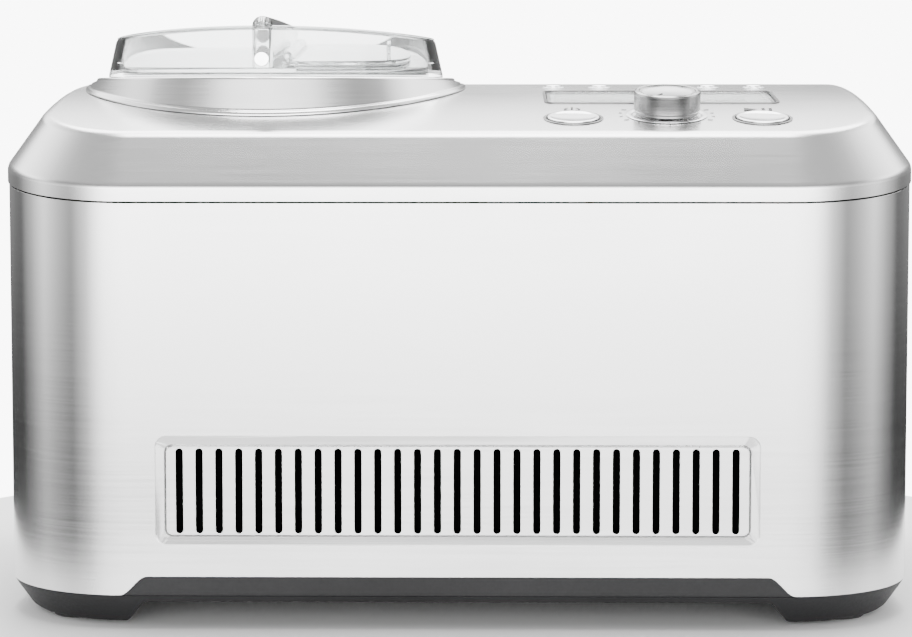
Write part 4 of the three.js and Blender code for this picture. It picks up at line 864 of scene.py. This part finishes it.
def back():
    inside = HALF_DEPTH - SHEET - GAP
    height = REAR["top"] - REAR["bottom"]
    middle = REAR["bottom"] + height / 2
    border = 6
    corner = 5
    plate = prism("back_plate", rounded(REAR["width"] + 2 * border, height + 2 * border, corner, 0, middle),
                  inside - 2, inside, "Y")
    raised = prism("raised", rounded(REAR["width"] - 2 * GAP, height - 2 * GAP, corner, 0, middle),
                   inside - 1, HALF_DEPTH - 0.1, "Y")
    combine(plate, [raised], "UNION")
    slots = []
    for i in range(REAR["slots"]):
        u = REAR["slot_x"] + (i - (REAR["slots"] - 1) / 2) * SLOT["pitch"]
        outline = rounded(SLOT["width"], REAR["slot_length"], SLOT["width"] / 2 - 0.01, u, middle, 6)
        slots.append(prism("slot", outline, HALF_DEPTH - CUT_INSIDE, HALF_DEPTH + CUT_OUTSIDE, "Y"))
    tools = [join_tools(slots)]
    tools.append(rod("gland_hole", GLAND["radius"] + GAP, HALF_DEPTH - CUT_INSIDE, HALF_DEPTH + CUT_OUTSIDE,
                     GLAND["x"], GLAND["z"], 64))
    for i in range(4):
        x, z = fastener(i)
        tools.append(rod("sink", 3.4 + GAP, HALF_DEPTH - 2 - GAP, HALF_DEPTH + CUT_OUTSIDE, x, z))
    combine(plate, tools)
    dress(smooth(bevel(plate, 0.3, 2)), ZINC, "housing", "zinc_steel", "rear_panel")


def fastener(i):
    """Where screw number i stands on the rear panel, as (x, z)."""
    margin = 9
    x = REAR["width"] / 2 - margin
    low, high = REAR["bottom"] + margin, REAR["top"] - margin
    return ((-x, low), (x, low), (-x, high), (x, high))[i]


def screws():
    for i in range(4):
        x, z = fastener(i)
        head = lathe(f"screw_head_{i + 1}", [(ON_AXIS, 0), (3.4, 0), (3.4, 0.7), (2.9, 1.3), (2.0, 1.6),
                                             (ON_AXIS, 1.7)], 48)
        cross = [prism("arm", rounded(*size, 0.2, 0, 0, 2), 0.8, 3) for size in ((4.2, 0.9), (0.9, 4.2))]
        combine(head, cross)
        stem = post("stem", 1.6, -7, 0.2, 0, 0, 24)
        combine(head, [stem], "UNION")
        place = Matrix.Translation((x, HALF_DEPTH - 2, z)) @ BACKWARDS
        dress(moved(smooth(head), place), ZINC, "housing", "zinc_steel", f"rear_screw_{i + 1}")


def gland():
    ring = lathe("gland_bush", [(3.6, -11.8), (10.5, -11.8), (10.5, -4), (8, -3.6), (8, -0.6), (7.6, 0),
                                (4.4, 0), (3.6, -0.9)], 64)
    place = Matrix.Translation((GLAND["x"], HALF_DEPTH - 0.2, GLAND["z"])) @ BACKWARDS
    dress(moved(smooth(ring), place), RUBBER, "housing", "black_rubber", "cord_gland")


def bowl():
    outside, inside, flange, hole = BOWL["outside"], BOWL["inside"], BOWL["flange"], BOWL["shaft_hole"]
    bottom, rim = BOWL["bottom"], BOWL["rim"]
    outer = [(hole, bottom), (outside - 7, bottom), (outside - 4, bottom + 0.7),
             (outside - 1.4, bottom + 3.2), (outside, bottom + 7), (outside, rim - 2)]
    lip = [(flange - 0.4, rim - 2), (flange, rim - 1.6), (flange, rim - 0.4), (flange - 0.4, rim),
           (inside + 0.6, rim), (inside, rim - 0.7)]
    floor_z = bottom + 2.5
    inner = [(inside, floor_z + 6), (inside - 0.6, floor_z + 3.3), (inside - 2.4, floor_z + 1.1),
             (inside - 7, floor_z)]
    hub = [(11.5, floor_z), (10.4, floor_z + 0.7), (10, floor_z + 2), (10, bottom + 8.4), (9.4, bottom + 9),
           (hole, bottom + 9)]
    shell = lathe("bowl_shell", outer + lip + inner + hub, 160)
    moved(smooth(shell), Matrix.Translation((*BOWL_AT, 0)))
    dress(shell, ALUMINIUM, "bowl", "satin_aluminium", "bowl")


def dress_inner_nodes():
    """Procedural materials for the CAD nodes that keep their own shape."""
    looks = {
        "galvanised": (ZINC, ("chassis_plate", "well_stand", "lower_bearing", "upper_bearing",
                              "drive_spindle", "gear_motor", "motor_pulley", "fan_motor", "dial_shaft")),
        "enamelled": (ENAMEL, ("compressor", "condenser")),
        "copper": (COPPER, ("evaporator_coil", "suction_pipe")),
        "plastic": (BLACK, ("fan_shroud", "fan_rotor", "spindle_pulley", "dial_encoder")),
        "rubber": (RUBBER, ("spindle_seal", "drive_belt", "compressor_mount_1", "compressor_mount_2",
                            "compressor_mount_3", "compressor_mount_4")),
        "white": (WHITE, ("bowl_shaft", "paddle")),
        "foam": (FOAM, ("insulation",)),
        "board": (BOARD, ("control_board", "power_board")),
        "aluminium": (ALUMINIUM, ("evaporator_well",)),
    }
    for material, names in looks.values():
        for name in names:
            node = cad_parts[name]
            node.data.materials.clear()
            node.data.materials.append(material)


# ------------------------------------------------------------------ studio
FRONT = -HALF_DEPTH
CAMERA_BACK = 1059  # from the front face
CAMERA_RIGHT = 12
CAMERA_HEIGHT = 236.4
CAMERA_PITCH = 4.24  # degrees down
CAMERA_YAW = -0.68  # degrees to the left
LENS = 96.1  # on a 36 mm sensor
SHIFT_Y = -0.05


def camera():
    data = bpy.data.cameras.new("camera")
    data.lens = LENS
    data.shift_y = SHIFT_Y
    data.clip_start = 0.01
    obj = bpy.data.objects.new("camera", data)
    obj.location = Vector((CAMERA_RIGHT, FRONT - CAMERA_BACK, CAMERA_HEIGHT)) * MM
    obj.rotation_euler = (math.radians(90 - CAMERA_PITCH), 0, math.radians(-CAMERA_YAW))
    bpy.context.scene.collection.objects.link(obj)
    bpy.context.scene.camera = obj


def area_light(name, place, aim, size, power):
    """A rectangular light. Places and sizes are in metres, and power in watts."""
    data = bpy.data.lights.new(name, "AREA")
    data.shape = "RECTANGLE"
    data.size, data.size_y = size
    data.energy = power
    obj = bpy.data.objects.new(name, data)
    obj.location = place
    obj.rotation_euler = (Vector(aim) - Vector(place)).to_track_quat("-Z", "Y").to_euler()
    bpy.context.scene.collection.objects.link(obj)


def ramp_node(tree, value, stops):
    ramp = tree.nodes.new("ShaderNodeValToRGB")
    elements = ramp.color_ramp.elements
    while len(elements) < len(stops):
        elements.new(0.5)
    for element, (position, level) in zip(elements, stops):
        element.position = position
        element.color = (level, level, level, 1)
    tree.links.new(value, ramp.inputs["Fac"])
    return ramp.outputs["Color"]


def math_node(tree, operation, first, second=None):
    node = tree.nodes.new("ShaderNodeMath")
    node.operation = operation
    for socket, value in zip(node.inputs, (first, second)):
        if isinstance(value, (int, float)):
            socket.default_value = value
        elif value is not None:
            tree.links.new(value, socket)
    return node.outputs["Value"]


def studio_world():
    """A soft studio for reflections, and plain white where the camera or clear plastic looks through.

    The ramps hold brightness against direction: around the horizon from the front to the back, downwards
    below the horizon, and upwards behind and in front of the object.
    """
    strength = 14.0
    white_strength = 9.0
    world = bpy.data.worlds.new("studio")
    bpy.context.scene.world = world
    world.use_nodes = True
    tree = world.node_tree
    background = tree.nodes["Background"]
    coords = tree.nodes.new("ShaderNodeTexCoord")
    parts = tree.nodes.new("ShaderNodeSeparateXYZ")
    tree.links.new(coords.outputs["Generated"], parts.inputs["Vector"])
    across = math_node(tree, "ABSOLUTE", parts.outputs["X"])
    ahead = math_node(tree, "MULTIPLY", parts.outputs["Y"], -1)
    turn = math_node(tree, "DIVIDE", math_node(tree, "ARCTAN2", across, ahead), math.pi)
    level = ramp_node(tree, turn, ((0.0, 1.0), (0.14, 0.80), (0.23, 0.22), (0.31, 0.065), (0.39, 0.13),
                                   (0.48, 0.24), (0.57, 0.10), (0.67, 0.020), (0.80, 0.03), (1.0, 0.03)))
    drop = math_node(tree, "MULTIPLY", math_node(tree, "MINIMUM", parts.outputs["Z"], 0.0), -4.0)
    below = ramp_node(tree, drop, ((0.0, 1.0), (0.14, 0.80), (0.31, 0.42), (0.47, 0.15), (0.65, 0.07),
                                   (1.0, 0.05)))
    around = multiplied(tree, level, below)
    lift = math_node(tree, "MAXIMUM", parts.outputs["Z"], 0.0)
    above = ramp_node(tree, lift, ((0.0, 0.0), (0.30, 0.6), (0.50, 1.0)))
    behind = ramp_node(tree, lift, ((0.0, 0.01), (0.14, 0.014), (0.30, 0.055), (0.42, 0.36), (0.66, 0.20),
                                    (0.88, 0.05), (1.0, 0.04)))
    before = ramp_node(tree, lift, ((0.0, 0.13), (0.30, 0.04), (0.60, 0.03), (0.85, 0.06), (1.0, 0.04)))
    facing = math_node(tree, "ADD", math_node(tree, "MULTIPLY", parts.outputs["Y"], -2.5), 0.5)
    crown = blended(tree, facing, behind, before)
    tree.links.new(blended(tree, above, around, crown), background.inputs["Color"])
    background.inputs["Strength"].default_value = strength
    white = tree.nodes.new("ShaderNodeBackground")
    white.inputs["Color"].default_value = (1, 1, 1, 1)
    white.inputs["Strength"].default_value = white_strength
    rays = tree.nodes.new("ShaderNodeLightPath")
    through = math_node(tree, "MAXIMUM", rays.outputs["Is Camera Ray"], rays.outputs["Is Transmission Ray"])
    pick = tree.nodes.new("ShaderNodeMixShader")
    tree.links.new(through, pick.inputs["Fac"])
    tree.links.new(background.outputs["Background"], pick.inputs[1])
    tree.links.new(white.outputs["Background"], pick.inputs[2])
    tree.links.new(pick.outputs["Shader"], tree.nodes["World Output"].inputs["Surface"])


def blended(tree, share, first, second):
    """Two colours mixed by a share that is kept between 0 and 1."""
    node = tree.nodes.new("ShaderNodeMixRGB")
    clamped = tree.nodes.new("ShaderNodeClamp")
    tree.links.new(share, clamped.inputs["Value"])
    tree.links.new(clamped.outputs["Result"], node.inputs["Fac"])
    tree.links.new(first, node.inputs["Color1"])
    tree.links.new(second, node.inputs["Color2"])
    return node.outputs["Color"]


def multiplied(tree, first, second):
    node = tree.nodes.new("ShaderNodeMixRGB")
    node.blend_type = "MULTIPLY"
    node.inputs["Fac"].default_value = 1.0
    tree.links.new(first, node.inputs["Color1"])
    tree.links.new(second, node.inputs["Color2"])
    return node.outputs["Color"]


def floor():
    """A round white table top a little larger than the object."""
    radius = 340
    thickness = 12
    below_feet = 0.05
    obj = post("floor", radius, -thickness, -below_feet, 0, 0, 128)
    material, tree, node = shader("floor", (0.90, 0.90, 0.90), 0.6)
    tinted(tree, node, grain(tree, 3, 2), (0.89, 0.89, 0.89), (0.91, 0.91, 0.91))
    obj.data.materials.append(material)


def lights():
    area_light("back_top", (0.1, 0.9, 1.6), (0, 0, 0.05), (1.8, 0.9), 40)
    area_light("overhead", (0, 0.15, 2.6), (0, 0.15, 0), (1.2, 1.2), 55)


camera()
studio_world()
floor()
lights()

steel_wrap()
vents()
base()
feet()
cover_shell()
collar()
lid()
mix_in_flap()
dial()
buttons()
display()
back()
screws()
gland()
bowl()
dress_inner_nodes()
